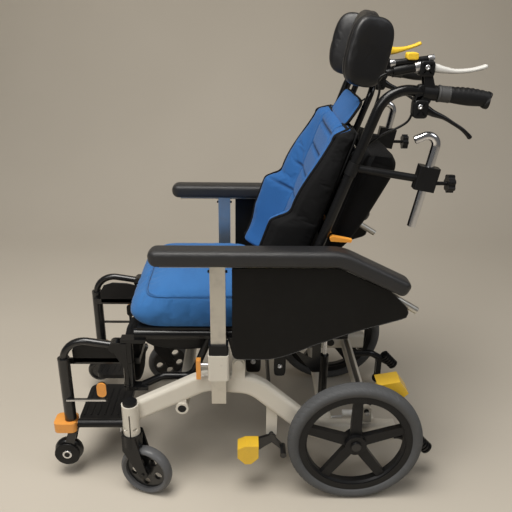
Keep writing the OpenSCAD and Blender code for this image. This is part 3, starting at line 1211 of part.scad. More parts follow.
// Leg tube: an arched upper tube, a sleeve, a bumper, a roller fork and an orange release pad
leg_tube_r = 9;
leg_bend = 52;
leg_front_y = -684;
leg_crest_z = 392;
sleeve_r = sleeve_d / 2;
sleeve_high_z = 338;
sleeve_low_z = 132;
roller_at = [-697, 73];
roller_r = roller_d / 2;
roller_w = 24;
roller_pin_r = 4;
roller_fork_t = 4;
hinge_pin_r = 5;
hinge_pin_l = 122;
bumper_front_y = -722;
bumper_rear_y = -668;
bumper_low_z = 140;
bumper_h = 25;
bumper_half_w = 24;
strip_z = 228;
strip_l = 98;
strip_t = 4;
release_y = -596;
release_z = 265;
release_l = 22;
release_h = 38;
release_t = 8;
module leg_tube(left) on_side(left) {
    color([0.06, 0.06, 0.065]) difference() {
        union() {
            pipe([[leg_x, leg_pivot[0], leg_pivot[1]], [leg_x, leg_front_y, leg_crest_z], [leg_x, leg_front_y, sleeve_low_z]],
                leg_tube_r, leg_bend);
            x_cyl(leg_x - leg_eye_w / 2, leg_x + leg_eye_w / 2, leg_pivot, leg_ear_r);
            z_cyl(sleeve_low_z, sleeve_high_z, [leg_x, leg_front_y], sleeve_r);
            y_cyl(leg_front_y, leg_front_y + sleeve_r + hinge_pin_l, [leg_x, footplate_z], hinge_pin_r);
            for (s = [-1, 1]) {
                x0 = leg_x + s * (roller_w / 2 + roller_fork_t) - roller_fork_t / 2;
                plate([[leg_front_y - sleeve_r / 2, sleeve_low_z + over], [leg_front_y + sleeve_r, sleeve_low_z + over],
                    [roller_at[0] + leg_ear_r, roller_at[1]], [roller_at[0] - leg_ear_r, roller_at[1]]], x0, x0 + roller_fork_t);
                x_cyl(x0, x0 + roller_fork_t, roller_at, leg_ear_r);
            }
            block([leg_x - roller_w / 2 - 1.5 * roller_fork_t, leg_front_y - sleeve_r / 2, sleeve_low_z - roller_fork_t],
                [leg_x + roller_w / 2 + 1.5 * roller_fork_t, leg_front_y + sleeve_r, sleeve_low_z + roller_fork_t]);
            x_cyl(leg_x - roller_w / 2 - roller_fork_t, leg_x + roller_w / 2 + roller_fork_t, roller_at, roller_pin_r);
            block([leg_x + sleeve_r - strip_t, leg_front_y, strip_z], [leg_x + sleeve_r + strip_t, leg_front_y + strip_l, strip_z + strip_t]);
            plate([[release_y - strip_t, strip_z], [release_y + strip_t, strip_z], [release_y + strip_t, release_z],
                [release_y - strip_t, release_z]], leg_x + sleeve_r - strip_t / 2, leg_x + sleeve_r + strip_t);
            // bracket of the calf pad
            block([calf_arm_x, leg_front_y - strip_t, calf_arm_z], [leg_x, leg_front_y + strip_t, calf_arm_z + calf_arm_h]);
            block([calf_arm_x, leg_front_y - strip_t, calf_arm_z],
                [calf_arm_x + strip_t, calf_rear[1] + strip_t, calf_arm_z + calf_arm_h]);
            calf_frame() block([-calf_w / 4, calf_t / 2 + seat_gap, -calf_arm_h / 2],
                [calf_arm_x + strip_t - calf_x, calf_t / 2 + seat_gap + strip_t, calf_arm_h / 2]);
        }
        x_cyl(0, wheel_x, leg_pivot, leg_pin_r + run_gap);
    }
    color([0.95, 0.6, 0.15]) {
        difference() {
            translate([leg_x, (bumper_front_y + bumper_rear_y) / 2, bumper_low_z]) linear_extrude(bumper_h)
                polygon(round_rect(2 * bumper_half_w, bumper_rear_y - bumper_front_y, bumper_half_w / 2));
            z_cyl(0, arm_top_z, [leg_x, leg_front_y], sleeve_r + seat_gap);
            block([leg_x - roller_w / 2, leg_front_y, 0], [leg_x + roller_w / 2, 0, arm_top_z]);
        }
        translate([leg_x + sleeve_r + strip_t, release_y, release_z]) rotate([90, 0, 90]) linear_extrude(release_t)
            polygon(round_rect(release_l, release_h, release_l / 2 - over));
    }
}
module foot_roller(left) color([0.08, 0.08, 0.085]) on_side(left) difference() {
    on_axle(leg_x, roller_at) rotate_extrude($fn = 60) polygon(concat([[0, roller_w / 2]],
        tyre_section(roller_r - caster_tyre_t, roller_r, roller_w - over), [[0, -roller_w / 2]]));
    x_cyl(0, wheel_x, roller_at, roller_pin_r + run_gap);
}

// Footplates, hinged on the leg tubes' lower pins
plate_t = 12;
plate_in = 22;
plate_gap = 3;
plate_round = 18;
plate_rib_count = 7;
plate_rib_h = 1.5;
module footplate(left) color([0.07, 0.07, 0.075]) on_side(left) difference() {
    y0 = leg_front_y + sleeve_r + plate_gap;
    union() {
        translate([(plate_in + leg_x) / 2, y0 + footplate_l / 2, footplate_z - plate_t / 2]) linear_extrude(plate_t)
            polygon(round_rect(leg_x - plate_in, footplate_l, plate_round));
        for (i = [0 : plate_rib_count - 1]) let (y = y0 + footplate_l * (i + 0.5) / plate_rib_count)
            block([plate_in + plate_round, y, footplate_z],
                [leg_x - 2 * plate_t, y + plate_rib_h * 2, footplate_z + plate_t / 2 + plate_rib_h]);
        y_cyl(y0, y0 + footplate_l, [leg_x, footplate_z], plate_t - over);
    }
    y_cyl(y0 - over, y0 + footplate_l + over, [leg_x, footplate_z], hinge_pin_r + run_gap);
}

module place() translate([0, axle_y, 0]) children();

place() base_arches();
place() base_cross_tubes();
place() frame_caps();
place() pivot_bolts();
place() tipping_tubes();
place() park_brake();
place() rear_brake();
place() tilt_cylinder();
place() tilt_rod();
place() recline_cylinder();
place() recline_rod();
place() rear_tyre(true);  // rear_tyre_left
place() rear_tyre(false);  // rear_tyre_right
place() rear_rim(true);  // rear_rim_left
place() rear_rim(false);  // rear_rim_right
place() caster_fork(true);  // caster_fork_left
place() caster_fork(false);  // caster_fork_right
place() caster_wheel(true);  // caster_wheel_left
place() caster_wheel(false);  // caster_wheel_right
place() tipping_wheel(true);  // tipping_wheel_left
place() tipping_wheel(false);  // tipping_wheel_right
place() seat_rails();
place() seat_cross_tubes();
place() seat_pan();
place() seat_cushion();
place() back_canes();
place() back_cross_tubes();
place() back_cover();
place() back_pad();
place() grips();
place() handle_clamps();
place() back_latch();
place() hook_tube(true);  // hook_tube_left
place() hook_tube(false);  // hook_tube_right
place() star_knob(true);  // star_knob_left
place() star_knob(false);  // star_knob_right
place() brake_lever(true);  // brake_lever_left
place() brake_lever(false);  // brake_lever_right
place() tilt_lever();
place() recline_lever();
place() headrest_stalk();
place() headrest_pad();
place() arm_frame(true);  // arm_frame_left
place() arm_frame(false);  // arm_frame_right
place() arm_pad(true);  // arm_pad_left
place() arm_pad(false);  // arm_pad_right
place() side_panel(true);  // side_panel_left
place() side_panel(false);  // side_panel_right
place() arm_lock(true);  // arm_lock_left
place() arm_lock(false);  // arm_lock_right
place() leg_hanger(true);  // leg_hanger_left
place() leg_hanger(false);  // leg_hanger_right
place() leg_tube(true);  // leg_tube_left
place() leg_tube(false);  // leg_tube_right
place() calf_pad(true);  // calf_pad_left
place() calf_pad(false);  // calf_pad_right
place() footplate(true);  // footplate_left
place() footplate(false);  // footplate_right
place() foot_roller(true);  // foot_roller_left
place() foot_roller(false);  // foot_roller_right
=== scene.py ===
# %% [markdown]
# # A tilt in space wheelchair
# The chair carries its seat and back as one unit that tips backwards on a low base, while the back reclines on its
# own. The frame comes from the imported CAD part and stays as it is. Everything soft is made here as a surface worked
# out with numpy, and every finish is a small net of shader nodes. Each cell makes one thing and prints what it made.

import bpy
import numpy as np
from mathutils import Matrix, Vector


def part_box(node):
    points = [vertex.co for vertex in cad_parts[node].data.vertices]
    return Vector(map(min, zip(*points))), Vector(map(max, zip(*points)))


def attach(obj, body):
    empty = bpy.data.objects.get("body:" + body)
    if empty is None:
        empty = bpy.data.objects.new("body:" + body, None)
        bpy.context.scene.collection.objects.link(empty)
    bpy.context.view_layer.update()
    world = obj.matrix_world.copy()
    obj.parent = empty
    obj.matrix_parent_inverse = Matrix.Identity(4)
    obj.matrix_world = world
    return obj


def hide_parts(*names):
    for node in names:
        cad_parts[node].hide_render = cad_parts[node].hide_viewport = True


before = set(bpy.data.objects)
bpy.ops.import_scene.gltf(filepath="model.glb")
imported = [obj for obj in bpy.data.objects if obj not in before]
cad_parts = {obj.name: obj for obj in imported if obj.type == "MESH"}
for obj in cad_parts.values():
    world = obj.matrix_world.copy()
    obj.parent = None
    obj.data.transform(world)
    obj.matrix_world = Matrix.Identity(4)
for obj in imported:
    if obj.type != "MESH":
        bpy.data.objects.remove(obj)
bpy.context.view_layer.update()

# %% [markdown]
# ## Measures
# Every measure below is in millimetres and is counted from the rear axle, as a workshop would do: x to the sitter's
# left, y backwards, z up from the floor. Blender works in metres and in the shared frame, so one helper turns such
# points into places. The back and the headrest lean, and a second helper turns points that are measured along a
# leaning piece.

# %% Chair measures
rim_low, rim_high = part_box("rear_rim_left")
AXLE_Y = (rim_low.y + rim_high.y) / 2
AXLE_Z = 159.0
SIDES = {"left": 1.0, "right": -1.0}
BACK_HINGE, BACK_LEAN = (-185, 395), -19.3
HEAD_PIN, HEAD_LEAN = (34, 985), -11
CANE_X, ARM_X, WHEEL_X, LEG_X = 198.0, 238.0, 256.0, 178.0
ROLLER = (-697, 73)


def chair(points):
    """Millimetres from the rear axle to metres in the shared frame: divide by 1000, then move y by the axle's place."""
    return np.asarray(points, float) / 1000 + np.array([0, AXLE_Y, 0])


def rotated(a, b, degrees):
    """Two coordinates turned by an angle: a cos - b sin and a sin + b cos."""
    c, s = np.cos(np.radians(degrees)), np.sin(np.radians(degrees))
    return a * c - b * s, a * s + b * c


def leaning(points, at, degrees):
    """Points of a leaning piece: turn y and z about the x axis by an angle, then move to the pivot."""
    points = np.asarray(points, float)
    y, z = rotated(points[..., 1], points[..., 2], degrees)
    return np.stack([points[..., 0], y + at[0], z + at[1]], -1)


def on_back(points):
    """Points measured on the back (x, out to the rear, up along it), which leans 19.3 degrees from its hinge."""
    return leaning(points, BACK_HINGE, BACK_LEAN)


print("axle at y", round(AXLE_Y, 4))

# %% [markdown]
# ## Shader sums
# A finish is easier to read as a formula than as a drawing of boxes. The class below wraps one socket of a node
# tree. Adding or multiplying two of them puts a Math node into the tree, and one method makes any other node from its
# type, its settings and the values of its sockets. Colours go through Mix nodes, because a Math node would turn them
# grey.


# %% A socket that can be reckoned with
class Wire:
    """One output socket. Sums of wires become Math nodes; node() makes a node of any other type."""

    def __init__(self, tree, socket=None):
        self.tree, self.socket = tree, socket

    def node(self, kind, settings=None, sockets=None, out=0):
        made = self.tree.nodes.new("ShaderNode" + kind)
        for key, value in (settings or {}).items():
            setattr(made, key, value)
        for key, value in (sockets or {}).items():
            if isinstance(value, Wire):
                self.tree.links.new(value.socket, made.inputs[key])
            else:
                made.inputs[key].default_value = value
        return Wire(self.tree, made.outputs[out])

    def math(self, operation, a, b=0.0):
        return self.node("Math", {"operation": operation}, {0: a, 1: b})

    def __add__(self, other):
        return self.math("ADD", self, other)

    def __radd__(self, other):
        return self.math("ADD", other, self)

    def __sub__(self, other):
        return self.math("SUBTRACT", self, other)

    def __rsub__(self, other):
        return self.math("SUBTRACT", other, self)

    def __mul__(self, other):
        return self.math("MULTIPLY", self, other)

    def __rmul__(self, other):
        return self.math("MULTIPLY", other, self)

    def sin(self):
        return self.math("SINE", self)

    def between(self, low, high):
        """0 below low, 1 above high and a smooth rise between them."""
        return self.node("MapRange", {"interpolation_type": "SMOOTHSTEP"}, {0: self, 1: low, 2: high})

    def mix(self, a, b):
        """Colour a where this wire is 0, colour b where it is 1."""
        a = a if isinstance(a, Wire) else (*a, 1.0)
        b = b if isinstance(b, Wire) else (*b, 1.0)
        return self.node("Mix", {"data_type": "RGBA"}, {0: self, 6: a, 7: b}, out=2)

    def axes(self):
        """The three numbers of a vector."""
        made = self.tree.nodes.new("ShaderNodeSeparateXYZ")
        self.tree.links.new(self.socket, made.inputs[0])
        return [Wire(self.tree, made.outputs[i]) for i in range(3)]

    def noise(self, scale, detail=2.0, rough=0.5):
        return self.node("TexNoise", None, {"Vector": self, "Scale": scale, "Detail": detail, "Roughness": rough})

    def vector(self, operation, other=None, out=0):
        sockets = {0: self} if other is None else {0: self, 1: other}
        return self.node("VectorMath", {"operation": operation}, sockets, out)

    def scaled(self, x, y, z):
        return self.vector("MULTIPLY", (x, y, z))


FINISHES = {}


def finish(name, colour, rough, bump=None, bump_depth=0.0002, metal=0.0, **constants):
    """A Principled material. colour and rough are wires or values, bump is a height wire, constants go straight to
    the shader's own sockets. The functions that call it make the wires with the tree that this returns."""
    tree = FINISHES[name].node_tree
    top = Wire(tree)
    colour = colour if isinstance(colour, Wire) else (*colour, 1.0)
    sockets = {"Base Color": colour, "Roughness": rough, "Metallic": metal}
    if bump is not None:
        sockets["Normal"] = top.node("Bump", None, {"Height": bump, "Distance": bump_depth, "Strength": 0.6})
    for key, value in constants.items():
        sockets[key.replace("_", " ")] = value
    shader = top.node("BsdfPrincipled", None, sockets)
    end = tree.nodes.new("ShaderNodeOutputMaterial")
    tree.links.new(shader.socket, end.inputs["Surface"])
    return FINISHES[name]


def times(colour, share):
    """The colour darkened or lightened by a share, at most 1."""
    return tuple(min(1, c * share) for c in colour)


def begin(name):
    """Starts an empty material and returns its object coordinates as a wire."""
    FINISHES[name] = bpy.data.materials.new(name)
    FINISHES[name].use_nodes = True
    FINISHES[name].node_tree.nodes.clear()
    return Wire(FINISHES[name].node_tree).node("TexCoord", out="Object")


print("shader sums ready")

# %% [markdown]
# ## Painted steel and cast parts
# The base is steel tube under a pearly cream powder coat, and the rest of the frame is gloss black. A real coat is
# never one colour: it has a soft cloudiness, rubbed spots and a fine orange peel that breaks the highlights. Noise of
# three sizes gives these, the largest for the colour and the smallest for the bump.


# %% Paints
def paint(name, colour, worn, rough, peel=0.00006, coat=0.3, fleck=0.12, shine=0.5):
    """Powder coat: colour = clouds between two near shades, then small rubbed spots in the worn colour."""
    place = begin(name)
    clouds = place.noise(9.0, 3.0)
    spots = place.noise(70.0, 4.0, 0.65).between(0.64, 0.74) * place.noise(14.0).between(0.5, 0.7)
    shade = clouds.mix(times(colour, 1 - fleck), times(colour, 1 + fleck))
    body = (spots * 0.7).mix(shade, worn)
    roughness = rough + clouds * 0.08 + spots * 0.2
    return finish(name, body, roughness, place.noise(420.0, 2.0), peel, Coat_Weight=coat, Coat_Roughness=0.12,
                  Specular_IOR_Level=shine)


paint("cream_paint", (0.66, 0.62, 0.54), (0.42, 0.38, 0.32), 0.30, coat=0.4, fleck=0.05)
paint("black_paint", (0.006, 0.006, 0.0065), (0.03, 0.03, 0.03), 0.2, coat=0.12, fleck=0.2, shine=0.3)
paint("silver_paint", (0.60, 0.59, 0.56), (0.4, 0.4, 0.4), 0.34, coat=0.3, fleck=0.05)
paint("yellow_paint", (0.86, 0.55, 0.03), (0.55, 0.36, 0.05), 0.34, coat=0.3, fleck=0.06)
print("paints", sorted(FINISHES))

# %% [markdown]
# ## Moulded plastic, rubber and vinyl
# Moulded black parts are duller than paint and carry a fine spark-eroded grain from the mould. The armrest pads are
# skinned foam with a leather grain, the side panels a smooth sheet, and the tyres a grey solid rubber with dust in it.
# Voronoi cells make the leather grain, because skin folds enclose small islands.


# %% Plastics and rubbers
def moulded(name, colour, rough, grain=900.0, depth=0.00008, fleck=0.15, coat=0.0, dust=0.1, shine=0.5):
    """Moulded part: a little cloudiness, dust in the peaks of a detailed noise, mould grain as bump."""
    place = begin(name)
    clouds = place.noise(14.0, 3.0)
    dusty = place.noise(50.0, 5.0, 0.7).between(0.5, 0.75) * dust
    shade = clouds.mix(times(colour, 1 - fleck), times(colour, 1 + fleck))
    grey = tuple(1.4 * c + 0.03 for c in colour)
    return finish(name, dusty.mix(shade, grey), rough + clouds * 0.1, place.noise(grain, 2.0), depth,
                  Coat_Weight=coat, Coat_Roughness=0.2, Specular_IOR_Level=shine)


def leathery(name, colour, rough, cell=0.0011, depth=0.00025, coat=0.0):
    """Skinned foam or vinyl: bump = distance to the edges of Voronoi cells about a millimetre wide."""
    place = begin(name)
    cells = place.node("TexVoronoi", {"feature": "DISTANCE_TO_EDGE"}, {"Vector": place, "Scale": 1 / cell})
    folds = cells.between(0.0, 0.25)
    clouds = place.noise(11.0, 4.0)
    rubbed = place.noise(4.0, 2.0).between(0.5, 0.7)
    shade = clouds.mix(times(colour, 0.82), times(colour, 1.2))
    # The folds between the cells are darkened towards 55 percent of the colour: painted shade in the grain's hollows.
    body = ((1 - folds) * 0.35).mix(shade, times(colour, 0.55))
    return finish(name, body, rough + clouds * 0.1 - rubbed * 0.06, folds + place.noise(500.0) * 0.3, depth,
                  Coat_Weight=coat, Coat_Roughness=0.3)


moulded("black_plastic", (0.007, 0.007, 0.0075), 0.34, fleck=0.25, coat=0.05, shine=0.25)
moulded("panel_plastic", (0.007, 0.0068, 0.0065), 0.32, grain=300.0, depth=0.00005, fleck=0.3, dust=0.05, shine=0.16)
moulded("yellow_plastic", (0.87, 0.56, 0.035), 0.42, fleck=0.06, dust=0.06)
moulded("orange_plastic", (0.88, 0.36, 0.05), 0.4, fleck=0.07, dust=0.05)
moulded("white_plastic", (0.75, 0.75, 0.73), 0.4, fleck=0.04, dust=0.12)
moulded("grey_tyre", (0.075, 0.077, 0.08), 0.68, grain=700.0, depth=0.0002, fleck=0.12, dust=0.3)
moulded("grip_ring", (0.05, 0.05, 0.05), 0.5, grain=500.0, fleck=0.2)
moulded("dark_rubber", (0.009, 0.009, 0.0095), 0.48, grain=650.0, depth=0.00015, fleck=0.25, dust=0.12, shine=0.25)
leathery("arm_pad_skin", (0.018, 0.018, 0.0195), 0.34, coat=0.12)
leathery("black_vinyl", (0.007, 0.007, 0.008), 0.34, cell=0.0014, depth=0.00018, coat=0.2)
print("plastics", len(FINISHES))

# %% [markdown]
# ## Bare metal
# The hooked tubes are chromed, the armrest posts drawn and anodised aluminium, the bolts bright steel. Drawn metal
# has fine lines along its length: noise that is squeezed across the post and stretched along it.


# %% Metals
def bare_metal(name, colour, rough, lines=(900.0, 900.0, 12.0), depth=0.00003):
    """Bare metal: fine lines from stretched noise, smears that dull the shine, a faint change of tone."""
    place = begin(name)
    drawn = place.scaled(*lines).noise(1.0, 3.0)
    smears = place.noise(30.0, 4.0, 0.6).between(0.45, 0.75)
    body = (smears * 0.5).mix(colour, times(colour, 0.78))
    return finish(name, body, rough + drawn * 0.1 + smears * 0.12, drawn, depth, metal=1.0)


bare_metal("chrome", (0.80, 0.80, 0.82), 0.07, depth=0.00001)
bare_metal("bolt_steel", (0.62, 0.62, 0.63), 0.24)
bare_metal("post_aluminium", (0.66, 0.64, 0.59), 0.33)
print("metals", len(FINISHES))

# %% [markdown]
# ## Cloth
# The covers are a fine polyester, bright blue on the sitter's side and black behind. Threads cross every millimetre,
# over and under by turns, so the height is the product of two sine waves. The seams are drawn with an attribute that
# each piece carries, called seam: thread and shadow darken the cloth there and pull it in.


# %% Woven covers
def cloth(name, colour, shade, pitch=0.0011, rough=0.82, sheen=0.25, shine=0.5):
    """Cover cloth: weave = sine across times sine along the piece's own map, plus clouds, creases and dark seams."""
    place = begin(name)
    u, v, _ = place.node("TexCoord", out="UV").axes()
    turn = 2 * np.pi / pitch
    weave = (u * turn).sin() * (v * turn).sin() * 0.5 + 0.5
    clouds = place.noise(6.0, 3.0)
    creases = place.scaled(14.0, 30.0, 9.0).noise(1.0, 4.0, 0.55)
    seam = place.node("Attribute", {"attribute_name": "seam"}, out="Fac")
    body = clouds.mix(times(colour, 0.86), times(colour, 1.12))
    body = (weave * 0.22 + creases.between(0.35, 0.8) * 0.2).mix(body, shade)
    body = (seam * 0.72).mix(body, times(shade, 0.25))
    height = weave * 0.12 + creases * 1.0 - seam * 0.8
    return finish(name, body, rough + clouds * 0.06, height, 0.0018, Sheen_Weight=sheen, Sheen_Roughness=0.4,
                  Specular_IOR_Level=shine)


cloth("blue_fabric", (0.028, 0.15, 0.40), (0.015, 0.075, 0.23), sheen=0.15)
# The back pad's blue is the seat's cloth made darker and deeper: a copy with painted shade in its colour.
cloth("blue_back", (0.022, 0.115, 0.33), (0.011, 0.055, 0.18), sheen=0.1, shine=0.3)
cloth("black_fabric", (0.0045, 0.0045, 0.005), (0.0025, 0.0025, 0.003), sheen=0.02, shine=0.2)
print("cloths", len(FINISHES))

# %% [markdown]
# ## Camera, floor and light
# The camera stands where the photograph was taken from, a little above the handles and about 1.4 m to the chair's
# left. Its lens and place were worked out from the wheels and tubes. The floor runs up into a pale backdrop in one
# bend, so that no horizon shows, and three large soft lamps light the chair from above as a workshop ceiling would.


# %% Camera
def stand(name, data, right, top, ahead, place):
    """Puts an object at a place. Its matrix has x to the right, y to the top and z against the way it looks."""
    made = bpy.data.objects.new(name, data)
    bpy.context.scene.collection.objects.link(made)
    matrix = np.eye(4)
    matrix[:3] = np.column_stack([right, top, -ahead, place])
    made.matrix_world = Matrix(matrix.tolist())
    return made


def look_from(place, pitch, yaw, roll, lens):
    """Camera matrix from its angles: the forward arrow is -x turned by the yaw and tipped down by the pitch; the
    roll comes last."""
    p, y, r = np.radians([pitch, yaw, roll])
    level = np.array([-np.cos(y), np.sin(y), 0.0])
    across = np.array([np.sin(y), np.cos(y), 0.0])
    up = np.array([0.0, 0.0, 1.0])
    ahead = np.cos(p) * level - np.sin(p) * up
    top = np.sin(p) * level + np.cos(p) * up
    right = np.cos(r) * across + np.sin(r) * top
    top = -np.sin(r) * across + np.cos(r) * top
    camera = stand("camera", bpy.data.cameras.new("camera"), right, top, ahead, place)
    camera.data.sensor_width, camera.data.lens = 36.0, lens
    camera.data.clip_start, camera.data.clip_end = 0.05, 60.0
    bpy.context.scene.camera = camera
    return camera


camera = look_from(chair((1427.36, -262.97, 1124.68)), pitch=22.84, yaw=1.21, roll=0.73, lens=43.57)
print("camera at", [round(v, 3) for v in camera.location])

# %% Floor and backdrop
bpy.context.scene.view_settings.view_transform = "Standard"
place = begin("backdrop")
# The broad lighter and darker patches are painted shade of cloth folds; the backdrop itself is flat.
folds = place.noise(1.1, 2.0)
grey = folds.mix((0.48, 0.435, 0.365), (0.57, 0.52, 0.445))
finish("backdrop", grey, 0.9)


def backdrop(width=9.0, depth=2.6, height=5.0, radius=1.2):
    """Floor and wall in one strip: straight floor, quarter circle, straight wall, the same across its whole width."""
    turn = np.linspace(0, np.pi / 2, 25)
    run = np.concatenate([np.linspace(-4.0, depth - radius, 12), depth - radius + radius * np.sin(turn)[1:],
                          np.full(8, depth)])
    rise = np.concatenate([np.zeros(12), radius - radius * np.cos(turn)[1:], np.linspace(radius, height, 9)[1:]])
    across = np.linspace(-width / 2, width / 2, 13)
    grid = np.stack(np.broadcast_arrays(-run[:, None], across[None], rise[:, None]), -1).reshape(-1, 3)
    rows, cols = np.meshgrid(np.arange(len(run) - 1), np.arange(12), indexing="ij")
    first = (rows * 13 + cols).ravel()
    faces = np.stack([first, first + 1, first + 14, first + 13], -1)
    mesh = bpy.data.meshes.new("backdrop")
    mesh.from_pydata(grid.tolist(), [], faces.tolist())
    made = bpy.data.objects.new("backdrop", mesh)
    bpy.context.scene.collection.objects.link(made)
    mesh.materials.append(FINISHES["backdrop"])
    mesh.shade_smooth()
    return made


backdrop()


def lamp(name, place, aim, size, power, colour=(1, 1, 1)):
    """A square soft lamp at a place, turned so that it shines towards aim."""
    light = bpy.data.lights.new(name, "AREA")
    light.shape, light.size, light.energy, light.color = "SQUARE", size, power, colour
    ahead = np.array(aim, float) - np.array(place, float)
    ahead /= np.linalg.norm(ahead)
    across = np.cross(ahead, (0, 0, 1))
    across /= np.linalg.norm(across)
    return stand(name, light, across, np.cross(across, ahead), ahead, place)


lamp("ceiling", (0.75, -0.45, 2.9), (0, 0.05, 0.3), 1.5, 80, (1.0, 0.97, 0.92))
lamp("front_fill", (2.3, -1.6, 2.5), (0, 0, 0.5), 1.3, 28, (1.0, 0.98, 0.95))
lamp("rear_fill", (1.2, 2.2, 2.6), (0, 0, 0.5), 1.2, 14, (0.95, 0.97, 1.0))
world = bpy.data.worlds.new("room")
world.use_nodes = True
sky = world.node_tree.nodes["Background"].inputs
sky["Color"].default_value, sky["Strength"].default_value = (0.86, 0.85, 0.83, 1), 0.13
bpy.context.scene.world = world
print("stage set")

# %% [markdown]
# ## Dressing the CAD nodes
# Each solid of the frame keeps its shape and takes one of the finishes above. A solid of several colours has one
# slot only, so its finish changes by place: boxes and wheels are cut out of it by masks. The list below says which
# nodes have a finish, by their names without the side, and a solid of several colours has a finish of its own name.

# %% Finishes of the frame
DRESS = {
    "cream_paint": "base_arches base_cross_tubes",
    "black_plastic": "frame_caps rear_rim seat_pan grips handle_clamps star_knob footplate",
    "black_paint": "tipping_tubes tilt_cylinder recline_cylinder caster_fork seat_rails seat_cross_tubes back_canes "
                   "back_cross_tubes brake_lever headrest_stalk leg_hanger",
    "chrome": "tilt_rod recline_rod hook_tube", "grey_tyre": "rear_tyre", "dark_rubber": "tipping_wheel",
    "blue_fabric": "seat_cushion back_pad", "black_fabric": "back_cover calf_pad", "orange_plastic": "back_latch",
    "bolt_steel": "tilt_lever", "yellow_paint": "recline_lever", "black_vinyl": "headrest_pad",
    "post_aluminium": "arm_frame", "arm_pad_skin": "arm_pad", "panel_plastic": "side_panel",
}
DRESS = {node: look for look, nodes in DRESS.items() for node in nodes.split()}
EDGE = 0.0003


def mirrored(place):
    """The place with its x made positive, so that one zone serves both sides of the chair."""
    x, y, z = place.axes()
    return place.node("CombineXYZ", None, {0: x.math("ABSOLUTE", x), 1: y, 2: z})


def in_box(place, low, high):
    """1 inside a box given in chair measures, 0 outside: the largest overshoot past its sides is below zero inside."""
    low, high = chair(low), chair(high)
    apart = place.vector("SUBTRACT", tuple((low + high) / 2)).vector("ABSOLUTE")
    x, y, z = apart.vector("SUBTRACT", tuple((high - low) / 2)).axes()
    return 1 - x.math("MAXIMUM", x.math("MAXIMUM", x, y), z).between(-EDGE, EDGE)


def in_wheel(place, at, axis, radius):
    """1 nearer than radius to an axle line, 0 farther: the cross product with the line's direction is the distance."""
    arm = place.vector("SUBTRACT", tuple(chair(at)))
    away = arm.vector("CROSS_PRODUCT", tuple(np.divide(axis, np.linalg.norm(axis)))).vector("LENGTH", out=1)
    return 1 - away.between(radius / 1000 - EDGE, radius / 1000 + EDGE)


LOOKS = {"black": ((0.006, 0.006, 0.0065), 0.24, 0.0), "grey": ((0.085, 0.086, 0.09), 0.66, 0.0),
         "yellow": ((0.80, 0.50, 0.035), 0.38, 0.0), "orange": ((0.80, 0.33, 0.06), 0.38, 0.0),
         "steel": ((0.66, 0.66, 0.67), 0.24, 1.0), "cream": ((0.66, 0.62, 0.54), 0.3, 0.0)}


def zoned(name, base, zones, coat=0.3):
    """A solid of several colours: colour, roughness and metal start as the base's, and the mask of each zone changes
    them there."""
    place = begin(name)
    spot = mirrored(place)
    clouds, dusty = place.noise(14.0, 3.0), place.noise(50.0, 5.0, 0.7).between(0.5, 0.75)
    tone, rough, metal = LOOKS[base]
    for mask, *spec in zones:
        inside = mask(spot, *spec[:-1])
        new_tone, new_rough, new_metal = LOOKS[spec[-1]]
        tone = inside.mix(tone, new_tone)
        rough, metal = rough + inside * (new_rough - rough), metal + inside * (new_metal - metal)
    body = (dusty * 0.12).mix(tone, (0.12, 0.115, 0.105))
    return finish(name, body, rough + clouds * 0.1, place.noise(420.0), 0.00006, metal, Coat_Weight=coat,
                  Coat_Roughness=0.15)


zoned("park_brake", "black", [(in_box, (224, -278, 96), (266, -226.5, 152), "yellow")])
zoned("pivot_bolts", "steel", [(in_wheel, (WHEEL_X, 0, AXLE_Z), (1, 0, 0), 20.0, "black"),
                                (in_box, (200, -300, 325), (240, -250, 380), "cream")])
zoned("rear_brake", "black", [(in_box, (185, 44, 250), (233, 126, 320), "yellow")])
zoned("arm_lock", "orange", [(in_box, (200, -359, 352), (270, -300, 364), "steel")])
zoned("leg_tube", "black", [(in_box, (150, -724, 139), (205, -666, 166), "orange"),
                            (in_box, (194, -690, 226), (208, -590, 233), "steel"),
                            (in_box, (200, -609, 244), (220, -583, 286), "orange")])
zoned("caster_wheel", "grey", [(in_wheel, (241.9, -495.6, 65), (0.951, -0.309, 0), 49.5, "black")])
zoned("foot_roller", "black", [(in_wheel, (LEG_X, *ROLLER), (1, 0, 0), 12.0, "steel")])
print("finishes", len(FINISHES))

for name, item in sorted(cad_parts.items()):
    node = name.replace("_left", "").replace("_right", "")
    wanted = FINISHES[DRESS.get(node, node)]
    for i in range(len(item.data.materials)):
        item.data.materials[i] = wanted
print("dressed", len(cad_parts), "nodes")

# %% [markdown]
# ## Surfaces from numbers
# A surface is a table of points: rows run along the piece, columns run around it. Where the last column meets the
# first the surface is a tube, and a fan of triangles closes each end. One piece may hold several such shells, each
# with its own finish. The map of a shell is its own length and girth in metres, so that a weave keeps its size.


